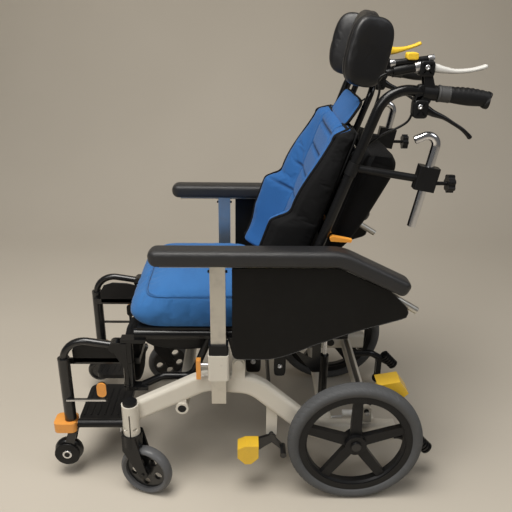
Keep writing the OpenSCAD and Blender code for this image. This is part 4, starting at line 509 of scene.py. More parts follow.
# %% Shells and pieces
def shell(grid, around=True, along=False, caps=True, finish=0, marks=None, flat=False):
    """A shell over a table of points (rows, columns, 3) in chair millimetres. Quads join neighbours in the table; a
    signed volume, the sum of a . (b x c) / 6 over the triangles, tells whether the faces have to be turned round.
    flat lays the map out from above and in front, u = x and v = z - y, for tables that shrink to a point."""
    grid = chair(grid)
    rows, cols = grid.shape[:2]
    r, c = np.meshgrid(np.arange(rows if along else rows - 1), np.arange(cols if around else cols - 1), indexing="ij")
    steps = ((0, 0), (0, 1), (1, 1), (1, 0))
    quads = np.stack([((r + i) % rows) * cols + (c + j) % cols for i, j in steps], -1).reshape(-1, 4)
    girth = np.linalg.norm(np.diff(grid, axis=1, append=grid[:, :1]), axis=2).mean(0)
    length = np.linalg.norm(np.diff(grid, axis=0, append=grid[:1]), axis=2).mean(1)
    u, v = np.append(0, np.cumsum(girth)), np.append(0, np.cumsum(length))
    maps = np.stack([np.stack([u[c + j], v[r + i]], -1) for i, j in steps], -2).reshape(-1, 4, 2)
    points, marks = grid.reshape(-1, 3), np.zeros(rows * cols) if marks is None else np.asarray(marks, float).ravel()
    fans, fan_maps = np.zeros((0, 3), int), np.zeros((0, 3, 2))
    if caps and around and not along:
        k = np.arange(cols)
        for row, ends in ((0, (1, 0)), (rows - 1, (0, 1))):
            edge = row * cols
            fan = np.stack([np.full(cols, len(points)), edge + (k + ends[0]) % cols, edge + (k + ends[1]) % cols], -1)
            middle = np.array([u[-1] / 2, v[row]])
            spot = np.stack([np.tile(middle, (cols, 1)), np.stack([u[k + ends[0]], np.full(cols, v[row])], -1),
                             np.stack([u[k + ends[1]], np.full(cols, v[row])], -1)], 1)
            fans, fan_maps = np.concatenate([fans, fan]), np.concatenate([fan_maps, spot])
            points = np.concatenate([points, grid[row].mean(0)[None]])
            marks = np.append(marks, marks[edge])
    if flat:
        spread = np.stack([points[:, 0], points[:, 2] - points[:, 1]], -1)
        maps, fan_maps = spread[quads], spread[fans]
    tris = np.concatenate([quads[:, [0, 1, 2]], quads[:, [0, 2, 3]], fans])
    a, b, c3 = (points[tris[:, i]] for i in range(3))
    closed = around and (along or caps)
    if closed and np.einsum("ij,ij->i", a, np.cross(b, c3)).sum() < 0:
        quads, maps, fans, fan_maps = quads[:, ::-1], maps[:, ::-1], fans[:, ::-1], fan_maps[:, ::-1]
    looks = np.broadcast_to(np.asarray(finish), (cols,))[c].ravel()
    return {"points": points, "quads": quads, "fans": fans, "maps": maps, "fan_maps": fan_maps, "marks": marks,
            "looks": np.append(looks, np.full(len(fans), looks[0]))}


def build(name, body, shells, finishes, replaces=()):
    """Joins shells into one object, gives it its map, its seam attribute and its finishes, and puts it on a body."""
    points, faces, maps, looks, start = [], [], [], [], 0
    for s in shells:
        points.append(s["points"])
        faces += (s["quads"] + start).tolist() + (s["fans"] + start).tolist()
        maps += [s["maps"].reshape(-1, 2), s["fan_maps"].reshape(-1, 2)]
        looks.append(s["looks"])
        start += len(s["points"])
    mesh = bpy.data.meshes.new(name)
    mesh.from_pydata(np.concatenate(points).tolist(), [], faces)
    mesh.uv_layers.new(name="cloth_map").data.foreach_set("uv", np.concatenate(maps).ravel())
    seam = mesh.attributes.new("seam", "FLOAT", "POINT")
    seam.data.foreach_set("value", np.concatenate([s["marks"] for s in shells]))
    for f in finishes:
        mesh.materials.append(FINISHES[f])
    mesh.polygons.foreach_set("material_index", np.concatenate(looks).astype(np.int32))
    mesh.polygons.foreach_set("use_smooth", np.full(len(mesh.polygons), True))
    mesh.update()
    made = bpy.data.objects.new(name, mesh)
    bpy.context.scene.collection.objects.link(made)
    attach(made, body)
    if replaces:
        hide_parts(*replaces)
    return made


def superellipse(half_x, half_y, power, count):
    """Rounded rectangle: x = a sign(cos t) |cos t|^(2/p), y likewise with the sine. Power 2 is an ellipse, 8 nearly a
    rectangle. The angles are spread evenly by arc length, so that corners get their share of points."""
    t = np.linspace(0, 2 * np.pi, 4001)[:-1]
    c, s = np.cos(t), np.sin(t)
    x, y = half_x * np.sign(c) * np.abs(c) ** (2 / power), half_y * np.sign(s) * np.abs(s) ** (2 / power)
    gone = np.append(0, np.cumsum(np.hypot(np.diff(x, append=x[0]), np.diff(y, append=y[0]))))
    where = np.interp(np.linspace(0, gone[-1], count + 1)[:-1], gone, np.arange(len(gone)))
    return np.stack([np.interp(where, np.arange(len(t) + 1), np.append(x, x[0])),
                     np.interp(where, np.arange(len(t) + 1), np.append(y, y[0]))], -1)


def swept(path, section, side=(1, 0, 0), size=None):
    """A section carried along a path: at each point the section lies in the plane across the path's direction, with
    its first axis towards side. size scales the section at each point of the path."""
    path = np.asarray(path, float)
    ahead = np.gradient(path, axis=0)
    ahead /= np.linalg.norm(ahead, axis=1)[:, None]
    across = np.asarray(side, float) - (ahead @ np.asarray(side, float))[:, None] * ahead
    across /= np.linalg.norm(across, axis=1)[:, None]
    other = np.cross(ahead, across)
    size = np.ones((len(path), 2)) if size is None else np.asarray(size, float).reshape(len(path), -1) * np.ones((1, 2))
    return (path[:, None] + across[:, None] * (section[None, :, :1] * size[:, None, :1])
            + other[:, None] * (section[None, :, 1:] * size[:, None, 1:]))


def spline(points, count):
    """A smooth curve through points: Catmull-Rom, a cubic between each two points whose slope at a point is half the
    step between its neighbours."""
    p = np.asarray(points, float)
    p = np.concatenate([2 * p[:1] - p[1:2], p, 2 * p[-1:] - p[-2:-1]])
    t = np.linspace(0, len(p) - 3, count)
    i = np.minimum(t.astype(int), len(p) - 4)
    f = (t - i)[:, None]
    a, b, c, d = p[i], p[i + 1], p[i + 2], p[i + 3]
    return 0.5 * (2 * b + (c - a) * f + (2 * a - 5 * b + 4 * c - d) * f**2 + (3 * b - a - 3 * c + d) * f**3)


def bent(points, radius, steps=10):
    """Straight runs joined by round bends: each corner is cut back by radius * tan(half its turn), and an arc fills
    it."""
    p = np.asarray(points, float)
    out = [p[:1]]
    for a, b, c in zip(p[:-2], p[1:-1], p[2:]):
        d, e = (b - a) / np.linalg.norm(b - a), (c - b) / np.linalg.norm(c - b)
        half = np.arccos(np.clip(d @ e, -1, 1)) / 2
        t = np.linspace(-half, half, steps)[:, None]
        inner = (e - d) / np.linalg.norm(e - d)
        along = (d + e) / np.linalg.norm(d + e)
        centre = b + inner * radius / np.cos(half)
        out.append(centre - inner * radius * np.cos(t) + along * radius * np.sin(t))
    return np.concatenate(out + [p[-1:]])


def turned(profile, at, axis=(1, 0, 0), count=64, ripple=None):
    """A profile of (radius, place along the axis) turned about an axis through a point. ripple adds to the radius."""
    axis = np.asarray(axis, float) / np.linalg.norm(axis)
    first = np.cross(axis, (0, 0, 1) if abs(axis[2]) < 0.9 else (0, 1, 0))
    first /= np.linalg.norm(first)
    second = np.cross(axis, first)
    turn = np.linspace(0, 2 * np.pi, count + 1)[:-1]
    profile = np.asarray(profile, float)
    radius = profile[None, :, 0] + (0 if ripple is None else ripple)
    ring = np.cos(turn)[:, None] * first + np.sin(turn)[:, None] * second
    return np.asarray(at, float) + ring[:, None] * radius[..., None] + axis * profile[None, :, 1:2]


def knob(profile, at, axis=(1, 0, 0), count=48, finish=0, ripple=None):
    """A turned solid whose profile starts and ends on the axis side: rows go along the axis, columns around it."""
    grid = turned(profile, at, axis, count, ripple)
    return shell(np.swapaxes(grid, 0, 1), finish=finish)


def slab(outline, x0, x1, edge):
    """A plate between x0 and x1 with an outline of (y, z) points: its two rims are drawn in towards the middle by the
    edge, along a quarter circle, and a fan closes each face."""
    outline = np.asarray(outline, float)
    ahead = np.roll(outline, -1, 0) - np.roll(outline, 1, 0)
    out = np.stack([ahead[:, 1], -ahead[:, 0]], -1) / np.linalg.norm(ahead, axis=1)[:, None]
    area = (outline[:, 0] * np.roll(outline[:, 1], -1) - outline[:, 1] * np.roll(outline[:, 0], -1)).sum()
    out = out * np.sign(area)
    q = np.linspace(0, np.pi / 2, 4)
    inset, step = edge * (1 - np.sin(q)), edge * (1 - np.cos(q))
    rings = [(inset[0] * 3, x0), *[(i, x0 + s) for i, s in zip(inset, step)]]
    rings += [(i, x1 - s) for i, s in zip(inset[::-1], step[::-1])] + [(inset[0] * 3, x1)]
    grid = [np.column_stack([np.full(len(outline), x), outline - out * i]) for i, x in rings]
    return shell(np.array(grid))


def run_of(line):
    """The length run along a line at each of its points."""
    return np.append(0, np.cumsum(np.linalg.norm(np.diff(line, axis=0), axis=1)))


def blunted(gone, blunt, least):
    """Size of a section whose both ends close as quarter ellipses: sqrt(1 - u^2) over the blunt length."""
    near = np.clip(np.minimum(gone, gone[-1] - gone) / blunt, 0, 1)
    return np.sqrt(np.clip(1 - (1 - near) ** 2, least, 1))[:, None]


def box_outline(y0, y1, z0, z1, power=6, count=40):
    """Outline of a rounded box seen from the side, counted from its four limits."""
    return superellipse((y1 - y0) / 2, (z1 - z0) / 2, power, count) + [(y0 + y1) / 2, (z0 + z1) / 2]


def smooth_step(t, low, high):
    """0 below low, 1 above high, and 3u^2 - 2u^3 between them."""
    u = np.clip((t - low) / (high - low), 0, 1)
    return u * u * (3 - 2 * u)


def bell(t, width):
    """A bell, e to the minus (t / width) squared."""
    return np.exp(-((t / width) ** 2))


print("surface helpers ready")

# %% [markdown]
# ## Inflating a cover
# Foam under a sewn cover swells between the seams and wrinkles beside them. Blender's cloth solver gives both: the
# shell is blown up gently with no gravity for twenty frames, the sewn points are pinned, and no point may move more
# than a few millimetres. The result is written back into the mesh, so no simulation stays on the piece.


# %% Cloth under pressure
def points_of(mesh):
    """The points of a mesh as a table of x, y and z in metres."""
    table = np.zeros(len(mesh.vertices) * 3)
    mesh.vertices.foreach_get("co", table)
    return table.reshape(-1, 3)


def puff(piece, pinned, pressure=4.0, frames=20, cap=0.006, grow=0.03, stiff=8.0):
    """Cloth run: pressure pushes outwards, the pinned points hold, and each point's move is cut to cap metres."""
    mesh = piece.data
    before = points_of(mesh)
    group = piece.vertex_groups.new(name="sewn")
    group.add(np.nonzero(pinned)[0].tolist(), 1.0, "REPLACE")
    cloth_run = piece.modifiers.new("cover", "CLOTH")
    s = cloth_run.settings
    s.use_pressure, s.uniform_pressure_force, s.vertex_group_mass = True, pressure, "sewn"
    s.mass, s.quality, s.time_scale = 0.25, 6, 1.0
    s.tension_stiffness = s.compression_stiffness = s.shear_stiffness = stiff
    s.bending_stiffness, s.shrink_min, s.effector_weights.gravity = 0.3, -grow, 0.0
    cloth_run.collision_settings.use_collision = False
    cloth_run.point_cache.frame_start, cloth_run.point_cache.frame_end = 1, frames
    scene = bpy.context.scene
    for f in range(1, frames + 1):
        scene.frame_set(f)
    ready = piece.evaluated_get(bpy.context.evaluated_depsgraph_get())
    move = points_of(ready.data) - before
    far = np.linalg.norm(move, axis=1)[:, None]
    move = move * np.minimum(1, cap / np.maximum(far, 1e-9))
    piece.modifiers.remove(cloth_run)
    piece.vertex_groups.remove(group)
    scene.frame_set(1)
    mesh.vertices.foreach_set("co", (before + move).ravel())
    mesh.update()
    print(piece.name, "moved on average", round(float(far.mean()) * 1000, 2), "mm")
    return piece


print("cloth solver wrapped")

# %% [markdown]
# ## Seat cushion
# The cushion is foam in a blue cover: a flat underside, a boxing strip that bulges forward over the sitter's knees,
# a sewn line all round where the strip meets the top panel, and a crowned top. The rings below follow that outline
# from the middle of the underside to the crown, each a rounded rectangle. Its sides lean in above the sewn line.

# %% Seat cushion
CUSHION_SHARES = [(0.03, 0.03, 0.0), (0.5, 0.5, 0.0), (0.88, 0.88, 0.0), (0.955, 0.95, 0.02), (0.985, 0.98, 0.12),
                  (1, 1, 0.32), (0.99, 1, 0.5), (0.96, 0.985, 0.68), (0.925, 0.965, 0.8), (0.9, 0.95, 0.84),
                  (0.865, 0.925, 0.87), (0.76, 0.84, 0.915), (0.55, 0.64, 0.957), (0.3, 0.36, 0.986), (0.03, 0.04, 1.0)]
CUSHION_SEAM = 0.842
CUSHION_X, CUSHION_Y, CUSHION_HIGH, CUSHION_AT = 183.5, 135, 84.5, [0, -376, 419.2]


def nose_share(height):
    """How far the front stands out: a bell low down over the knees, less a smooth step towards the top."""
    return 0.14 * bell(height - 0.32, 0.26) - 0.15 * smooth_step(height, 0.62, 0.97)


def cushion_table(half_x, half_y, height, shares, seam, rows=64, cols=176, power=7.0):
    """Rings: rounded rectangle times the shares of its two half sizes, lifted by the share of the height. The nose
    fades out in the small rings, which would cross otherwise. The seam mark is a bell around the height share where
    the two panels are sewn together."""
    share = spline(shares, rows)
    ring = superellipse(1, 1, power, cols)
    grid = np.empty((rows, cols, 3))
    grid[..., 0] = ring[None, :, 0] * share[:, :1] * half_x
    nose = smooth_step(-ring[None, :, 1], 0.3, 1.0) * smooth_step(share[:, 1:2], 0.25, 0.8)
    grid[..., 1] = ring[None, :, 1] * half_y * (share[:, 1:2] + nose * nose_share(share[:, 2:]))
    grid[..., 2] = share[:, 2:] * height
    outer = share[:, 0] > 0.6
    return grid, bell(share[:, 2:] - seam, 0.014) * outer[:, None] * np.ones((1, cols))


grid, marks = cushion_table(CUSHION_X, CUSHION_Y, CUSHION_HIGH, CUSHION_SHARES, CUSHION_SEAM)
grid += CUSHION_AT
cushion = build("seat_upholstery", "seat", [shell(grid, marks=marks, flat=True)], ["blue_fabric"], ["seat_cushion"])
sewn = np.append(marks.ravel() > 0.6, [True, False]) | (points_of(cushion.data)[:, 2] < 0.4215)
puff(cushion, sewn, cap=0.0035, grow=0.02)


def pull_in(piece, depth):
    """Draws the sewn lines into the foam: each point moves against its normal by depth times its seam mark."""
    mesh = piece.data
    seam, normals = (np.zeros(len(mesh.vertices) * k) for k in (1, 3))
    mesh.attributes["seam"].data.foreach_get("value", seam)
    mesh.vertex_normals.foreach_get("vector", normals)
    mesh.vertices.foreach_set("co", points_of(mesh).ravel() - normals * np.repeat(seam, 3) * depth)
    mesh.update()


def sewn_cord(name, body, ring, radius, side, look):
    """A round cord along a closed ring of points, which starts and ends at the ring's first point."""
    tube = swept(np.concatenate([ring, ring[:1]]), superellipse(radius, radius, 2, 10), side=side)[:-1]
    build(name, body, [shell(tube, along=True, caps=False)], [look])


pull_in(cushion, 0.0022)
welt_share = spline(CUSHION_SHARES, 400)
at_seam = welt_share[np.argmin(np.abs(welt_share[:, 2] - CUSHION_SEAM) + 9 * (welt_share[:, 0] < 0.6))]
ring = superellipse(1, 1, 7.0, 200)
nose = smooth_step(-ring[:, 1], 0.3, 1.0) * nose_share(CUSHION_SEAM)
ring = np.column_stack([CUSHION_X * at_seam[0] * ring[:, 0], CUSHION_Y * (at_seam[1] + nose) * ring[:, 1]])
welt = np.column_stack([ring, np.full(200, CUSHION_HIGH * CUSHION_SEAM)]) + CUSHION_AT
sewn_cord("cushion_welt", "seat", welt, 1.3, (0, 0, 1), "blue_fabric")
print("cushion", len(cushion.data.vertices), "points")

# %% [markdown]
# ## Quilted back pad
# The back pad is the piece that gives this chair its look: blue cloth, sewn into squares down the middle and into
# broad panels on the wings, with black piping along its edge and black cloth outside. Low wings reach forward at the
# sitter's waist, higher up the sides only roll in. Its depth in front of the cover is a sum of smooth steps in the
# two shares p, across from -1 to 1, and q, up from 0 to 1.

# %% Back pad
PAD_REAR, PAD_HALF, PAD_FOOT, PAD_HIGH = 16.1, 188, 76, 420
FRONT, SIDE, REAR = 141, 12, 13
PIPED = 0.92
PIPE_SIDE = (0, 0.9438, -0.3305)
CHANNELS = (0.3, 0.46, 0.62, 0.78, 0.92)


def pad_half(q):
    """Half width at share q of the height: 188 mm, narrower towards the top and a little at the foot."""
    top = 0.05 * smooth_step(q, 0.72, 0.95) + 0.05 * smooth_step(q, 0.955, 1)
    return PAD_HALF * (1 - top - 0.03 * smooth_step(0.1 - q, 0, 0.1))


def pad_seams(p, q):
    """Sewn lines: one up each side of the middle and the cross channels, which fade over the wings."""
    across = np.max([bell(q - c, 0.0085) for c in CHANNELS], axis=0)
    low = bell(q - CHANNELS[1], 0.0085) * (1 - smooth_step(np.abs(p), 0.66, 0.88))
    high = bell(q - CHANNELS[2], 0.0085) * (1 - smooth_step(np.abs(p), 0.56, 0.76))
    wing = 0.9 * np.maximum(low, high) / np.maximum(across, 1e-6)
    middle = np.where(np.abs(p) < 0.52, 1.0, wing)
    lines = np.maximum(across * middle, bell(np.abs(p) - 0.52, 0.014))
    return lines * smooth_step(q, 0.0, 0.04) * smooth_step(1 - q, 0.0, 0.03)


def pad_depth(p, q):
    """Depth of the pad in front of the cover: base + crown + foot + side share x (low wing + upper roll)."""
    ends = smooth_step(q, -0.03, 0.025) * smooth_step(1 - q, -0.01, 0.05)
    share = smooth_step(np.abs(p), 0.52, 0.86) * (1 - 0.14 * smooth_step(np.abs(p), 0.93, 1.0))
    wing = 76 * (0.74 + 0.26 * smooth_step(q, 0, 0.28)) * (1 - smooth_step(q, 0.43, 0.53))
    upper = 42 * smooth_step(q, 0.43, 0.53) * (1 - 0.72 * smooth_step(q, 0.56, 1))
    body = 16.8 * (1 - 0.4 * np.abs(p) ** 8) + 7 * (1 - p**2) + 14 * (1 - smooth_step(q, 0, 0.2))
    return 7.2 + ends * (body + share * (wing + upper))


def pad_table(rows=190, front=FRONT, side=SIDE, rear=REAR):
    """A ring of columns round the pad at each height: the front from right to left, the left outside, the rear on the
    cover, the right outside. The outsides bulge by 4 mm times the sine of their share."""
    q = np.linspace(0, 1, rows)[:, None]
    p = np.linspace(-1, 1, front)[None]
    half, seams = pad_half(q), pad_seams(p, q)
    front_x, front_w = p * half, -PAD_REAR - pad_depth(p, q)
    edge = np.concatenate([front_w[:, -1:], front_w[:, :1]], 1)
    t = np.linspace(0, 1, side + 2)[None, 1:-1]
    left_w = edge[:, :1] + (-PAD_REAR - edge[:, :1]) * t
    bulge = 4 * np.sin(np.pi * t) * np.minimum(1, (-PAD_REAR - edge[:, :1]) / 60)
    rear_x = np.linspace(1, -1, rear)[None] * (half - 2)
    right_w = -PAD_REAR + (edge[:, 1:] + PAD_REAR) * t
    x = np.concatenate([front_x, half + bulge, rear_x, -half - bulge], 1)
    w = np.concatenate([front_w, left_w, np.full((rows, rear), -PAD_REAR), right_w], 1)
    marks = np.concatenate([seams, np.zeros((rows, side * 2 + rear))], 1)
    grid = np.stack([x, w, np.broadcast_to(PAD_FOOT + PAD_HIGH * q, x.shape)], -1)
    looks = np.concatenate([np.abs(p[0]) > PIPED, np.ones(side * 2 + rear, bool)]).astype(int)
    return grid, marks, looks


grid, marks, looks = pad_table()
quilt = build("back_quilt", "back", [shell(on_back(grid), marks=marks, finish=looks)], ["blue_back", "black_fabric"],
              ["back_pad"])
hold = marks > 0.55
sewn = np.array([0, 1, 5, 6])  # columns at the pad's edge and at the piping, the same from both sides
hold[:, np.append(sewn, FRONT - 1 - sewn)] = True
hold[:, FRONT + SIDE:FRONT + SIDE + REAR] = True
hold[[0, -1]] = True
puff(quilt, np.append(hold.ravel(), [True, True]), cap=0.0022, grow=0.015)
pull_in(quilt, 0.0042)
print("quilt", len(quilt.data.vertices), "points")

# %% [markdown]
# Piping is a cord in a strip of black cloth, sewn between the blue front and the black outside. Its path lies on the
# pad's own surface where blue meets black, up both sides and across the top.

# %% Piping of the back pad
q = np.append(np.linspace(0.0, 0.965, 66), np.full(14, 0.992))
p = np.append(np.full(66, PIPED), np.linspace(0.88, 0.45, 14))
route = np.column_stack([p * pad_half(q), -PAD_REAR - pad_depth(p, q) - 0.5, PAD_FOOT + PAD_HIGH * q])
route = spline(route[::2], 380)
pipes = [shell(swept(on_back(route * [s, 1, 1]), superellipse(3.6, 3.6, 2, 14), side=PIPE_SIDE))
         for s in (1, -1)]
build("back_piping", "back", pipes, ["black_fabric"])
print("piping", len(route), "points on each side")


# %% [markdown]
# ## Head flap
# Above the pad a small blue flap lies against the two stalks of the headrest. It is a flat pillow with the same
# black piping, and its lower edge tucks in behind the pad's top.

# %% Head flap
FLAP_X, FLAP_Z, FLAP_THICK = 110, 32, 11
PILLOW_SHARES = [(0.03, 0.0), (0.55, 0.0), (0.88, 0.02), (0.97, 0.12), (1.0, 0.38), (0.99, 0.6), (0.94, 0.8),
                 (0.82, 0.92), (0.6, 0.975), (0.3, 0.995), (0.03, 1.0)]


def pillow(half_x, half_z, thick, power=4.0, rows=40, cols=96, shares=PILLOW_SHARES, seam=0.45):
    """An upright stuffed pad that faces -y: rounded rectangles in x and z times the shares of its half sizes, moved
    forward by the share of its thickness, from the flat rear to the swollen front."""
    share = spline(shares, rows)
    ring = superellipse(half_x, half_z, power, cols)
    grid = np.stack([ring[None, :, 0] * share[:, :1], -thick * share[:, 1:] * np.ones((1, cols)),
                     ring[None, :, 1] * share[:, :1]], -1)
    return grid, bell(share[:, 1:] - seam, 0.06) * (share[:, :1] > 0.9) * np.ones((1, cols))


def on_flap(points):
    """Points of the flap, which stands on the pad's top edge and leans 14 degrees more than the back."""
    return on_back(leaning(points, (-24, 489), -14))


grid, marks = pillow(FLAP_X, FLAP_Z, FLAP_THICK, power=6, rows=34, cols=120)
flap = build("head_flap", "back", [shell(on_flap(grid + [0, 0, FLAP_Z]), marks=marks, flat=True)], ["blue_back"],
             ["back_pad"])
ring = superellipse(FLAP_X, FLAP_Z - 0.5, 6, 160)
ring = on_flap(np.column_stack([ring[:, 0], np.full(160, -5.0), ring[:, 1] + FLAP_Z]))
sewn_cord("flap_piping", "back", ring, 3.2, PIPE_SIDE, "black_fabric")
print("flap made")

# %% [markdown]
# ## Back cover and pocket
# Behind the pad a black panel is stretched between the two canes, and a deep pocket hangs from it between the
# handles. The panel is a single layer of cloth with a little slack, thickened by a Solidify modifier. The pocket is a
# soft bag: a rounded side outline carried across, drawn in at both ends, with folds that hang from its hem.


# %% Back cover and pocket
def slack(x, v):
    """Small folds of stretched cloth: the sum of a product of two slow waves and one faster wave."""
    return 0.7 * np.sin(x / 31 + v / 57) * np.sin(v / 43) + 0.4 * np.sin(x / 17 - v / 29)


x, v = np.meshgrid(np.linspace(-183, 183, 90), np.linspace(46, 497, 110))
panel = on_back(np.stack([x, -13.3 + 0.6 * slack(x, v), v], -1))
hem = np.maximum(bell(np.abs(x) - 172, 1.6), np.maximum(bell(v - 486, 1.6), bell(v - 58, 1.6)))
cover = build("back_panel", "back", [shell(panel, around=False, caps=False, marks=hem)], ["black_fabric"],
              ["back_cover"])
wall = cover.modifiers.new("cloth_thickness", "SOLIDIFY")
wall.thickness, wall.offset = 0.002, 0.0

POCKET = [(0, 0), (0.16, 0.0), (0.3, 0.02), (0.45, 0.06), (0.58, 0.14), (0.7, 0.27), (0.8, 0.42), (0.9, 0.61),
          (0.99, 0.8), (1, 0.87), (0.95, 0.93), (0.85, 0.965), (0.74, 0.985), (0.45, 0.97), (0.2, 0.95), (0, 0.93),
          (0, 0.6), (0, 0.3)]
outline = spline(POCKET + POCKET[:1], 121)[:-1]
across = np.sin(np.linspace(-np.pi / 2, np.pi / 2, 72))
swell = (1 - np.abs(across) ** 9) ** (1 / 3.2)
deep = 27 + 81 * outline[None, :, 0] * (0.3 + 0.7 * swell[:, None])
high = 228 + 249 * (0.5 + (outline[None, :, 1] - 0.5) * (0.93 + 0.07 * swell[:, None]))
side_x = np.broadcast_to(166 * across[:, None], deep.shape)
folds = slack(side_x * 1.2, high * 0.35) + 0.8 * np.sin(side_x / 13 + high / 90)
folds = folds * outline[None, :, 0] * swell[:, None]
bag = on_back(np.stack([side_x, deep - 1.5 + 1.4 * folds, high], -1))
hem = bell(high - 452, 2.0) * (outline[None, :, 0] > 0.6)
pocket = build("rear_pocket", "back", [shell(bag, marks=hem)], ["black_fabric"], ["back_cover"])
print("cover and pocket made")

# %% [markdown]
# ## Headrest
# Three stuffed lobes in smooth black vinyl: one behind the head and a wing on each side that turns inwards. Each is
# the same upright pillow, with a sewn edge around its side, turned about the vertical and set on the stalk's head.


# %% Headrest
def on_head(points):
    """Points measured on the headrest, which leans 11 degrees on the pin of its stalk."""
    return leaning(points, HEAD_PIN, HEAD_LEAN)


def yawed(points, degrees, at):
    """Turns points about the vertical by an angle and moves them."""
    x, y = rotated(points[..., 0], points[..., 1], degrees)
    return np.stack([x + at[0], y + at[1], points[..., 2] + at[2]], -1)


LOBE_SHARES = [(0.03, 0.0), (0.5, 0.0), (0.8, 0.01), (0.93, 0.06), (0.985, 0.2), (1.0, 0.42), (0.985, 0.62),
               (0.93, 0.8), (0.8, 0.91), (0.6, 0.965), (0.3, 0.99), (0.03, 1.0)]
LOBES = [(85, 75, 38, 0, (0, -33, 30)), (48, 70, 36, -72, (100, -52, 26)), (48, 70, 36, 72, (-100, -52, 26))]
shells, pinned = [], []
for half_x, half_z, thick, yaw, at in LOBES:
    grid, marks = pillow(half_x, half_z, thick, power=3.1, rows=40, cols=104, shares=LOBE_SHARES)
    if yaw:
        grid = grid + [0, thick / 2, 0]
    shells.append(shell(on_head(yawed(grid, yaw, at)), marks=marks))
    pinned.append(np.append(marks.ravel() > 0.5, [True, False]))
headrest = build("headrest_lobes", "headrest_pad", shells, ["black_vinyl"], ["headrest_pad"])
puff(headrest, np.concatenate(pinned), cap=0.0008, grow=0.004)
pull_in(headrest, 0.0015)
plates = [knob([(0.2, -3), (21, -3), (23.5, -1), (23.5, 4), (21, 6), (9, 6.5), (8, 5), (0.2, 5)],
               on_head(np.array([s * 24.0, 0, 0])), axis=(s, 0, 0)) for s in (1, -1)]
build("headrest_hubs", "headrest_pad", plates, ["black_plastic"])
print("headrest", len(headrest.data.vertices), "points")

# %% [markdown]
# ## Calf pads and arm pads
# The calf pads are small black cushions that stand upright on the leg tubes. The arm pads are long bars of skinned
# foam, one straight run and a rear part that slopes down behind the elbow. Their section is a rounded rectangle
# carried along the path, and it shrinks over the last finger's width at both ends as a quarter ellipse, so that the
# ends are round.


# %% Calf pads
CALF_PIN, CALF_X = (-531, 316), 98.0
for side, s in SIDES.items():
    grid, marks = pillow(52.5, 74.5, 31.5, power=4.0, rows=36, cols=88)
    grid = leaning(grid + [0, 15.8, 0], CALF_PIN, 0) + [s * CALF_X, 0, 0]
    calf = build(f"calf_cushion_{side}", f"leg_rest_{side}", [shell(grid, marks=marks)], ["black_fabric"],
                 [f"calf_pad_{side}"])
    puff(calf, np.append(marks.ravel() > 0.5, [True, False]), cap=0.003, grow=0.02)
    pull_in(calf, 0.0012)
print("calf pads made")


# %% Arm pads
def arm_pad_table(wide=51.0, high=36.0, top=640.5, front=-464, run=168, slope=26, rows=120, cols=56):
    """The rounded section along the pad's middle line, with both ends drawn in by sqrt(1 - u^2)."""
    z, slope = top - high / 2, np.radians(slope)
    knee = np.array([-60.0, z])
    tail = knee + run * np.array([np.cos(slope), -np.sin(slope)])
    line = bent([(ARM_X, front, z), (ARM_X, *knee), (ARM_X, *tail)], radius=90, steps=14)
    gone = run_of(line)
    t = (1 - np.cos(np.linspace(0, np.pi, rows))) / 2 * gone[-1]
    t = 0.5 * t + 0.5 * np.linspace(0, gone[-1], rows)
    path = np.stack([np.interp(t, gone, line[:, k]) for k in range(3)], -1)
    return swept(path, superellipse(wide / 2, high / 2, 4.2, cols), size=blunted(t, 20.0, 0.0016))


for side, s in SIDES.items():
    grid = arm_pad_table() * [s, 1, 1]
    pad = build(f"arm_rest_{side}", f"arm_{side}", [shell(grid)], ["arm_pad_skin"], [f"arm_pad_{side}"])
print("arm pads made")

# %% [markdown]
# ## Tyres
# The rear tyres are solid grey rubber, 38 mm wide, on five spoke rims. Their tread is a row of shallow blocks: the
# radius of the turned profile drops in slanted grooves, wherever a sine wave around the wheel is near zero, and only
# on the shoulders. The casters and footrest rollers keep their shape, where masks part the hub by its colour.


# %% Rear tyres
def tyre_profile(inner, outer, width, count=40):
    """Half ring section: a bead of 72 percent of the width, then a rounded crown, sine and cosine powers below one."""
    turn = np.linspace(0, np.pi, count)
    mid = inner + (outer - inner) * 0.42
    radius = mid + (outer - mid) * np.sin(turn) ** 0.75
    along = width / 2 * np.cos(turn) * np.abs(np.cos(turn)) ** -0.25
    bead = [(inner, width * 0.36), (inner + (mid - inner) * 0.5, width * 0.44)]
    return np.array(bead + list(zip(radius, along)) + [(b[0], -b[1]) for b in bead[::-1]])


def tread(profile, outer, count, blocks=58, depth=1.5):
    """Depth of the cuts: a slanted groove wherever sin(blocks x turn + side) is near 0, only on the shoulders, and
    one thin groove round each side of the crown."""
    turn = np.linspace(0, 2 * np.pi, count + 1)[:-1, None]
    side = profile[None, :, 1]
    wave = np.abs(np.sin(blocks * turn / 2 + side * 0.18))
    on_shoulder = smooth_step(np.abs(side), 3.5, 6) * (1 - smooth_step(np.abs(side), 15, 18))
    cut = (1 - smooth_step(wave, 0.12, 0.4)) * on_shoulder
    ring = bell(np.abs(side) - 4.0, 1.0)
    on_crown = smooth_step(profile[None, :, 0], outer - 9, outer - 5)
    return -depth * np.maximum(cut, ring * 0.9) * on_crown


TYRE_IN, TYRE_OUT, TYRE_WIDE, TYRE_STEPS = 133.3, 159.0, 38.0, 464
profile = tyre_profile(TYRE_IN, TYRE_OUT, TYRE_WIDE, 64)
ripple = tread(profile, TYRE_OUT, TYRE_STEPS)
for side, s in SIDES.items():
    grid = turned(profile, (s * WHEEL_X, 0, AXLE_Z), (1, 0, 0), TYRE_STEPS, ripple)
    build(f"grey_tyre_{side}", f"rear_wheel_{side}", [shell(grid, along=True)], ["grey_tyre"], [f"rear_tyre_{side}"])
print("tyres made")

# %% [markdown]
# ## Small fittings
# These are the parts that catch the eye last but make the chair look used and real: axle caps, screws with a hexagon
# in their head and the pins on the armrest posts. All are profiles turned about their own axis.


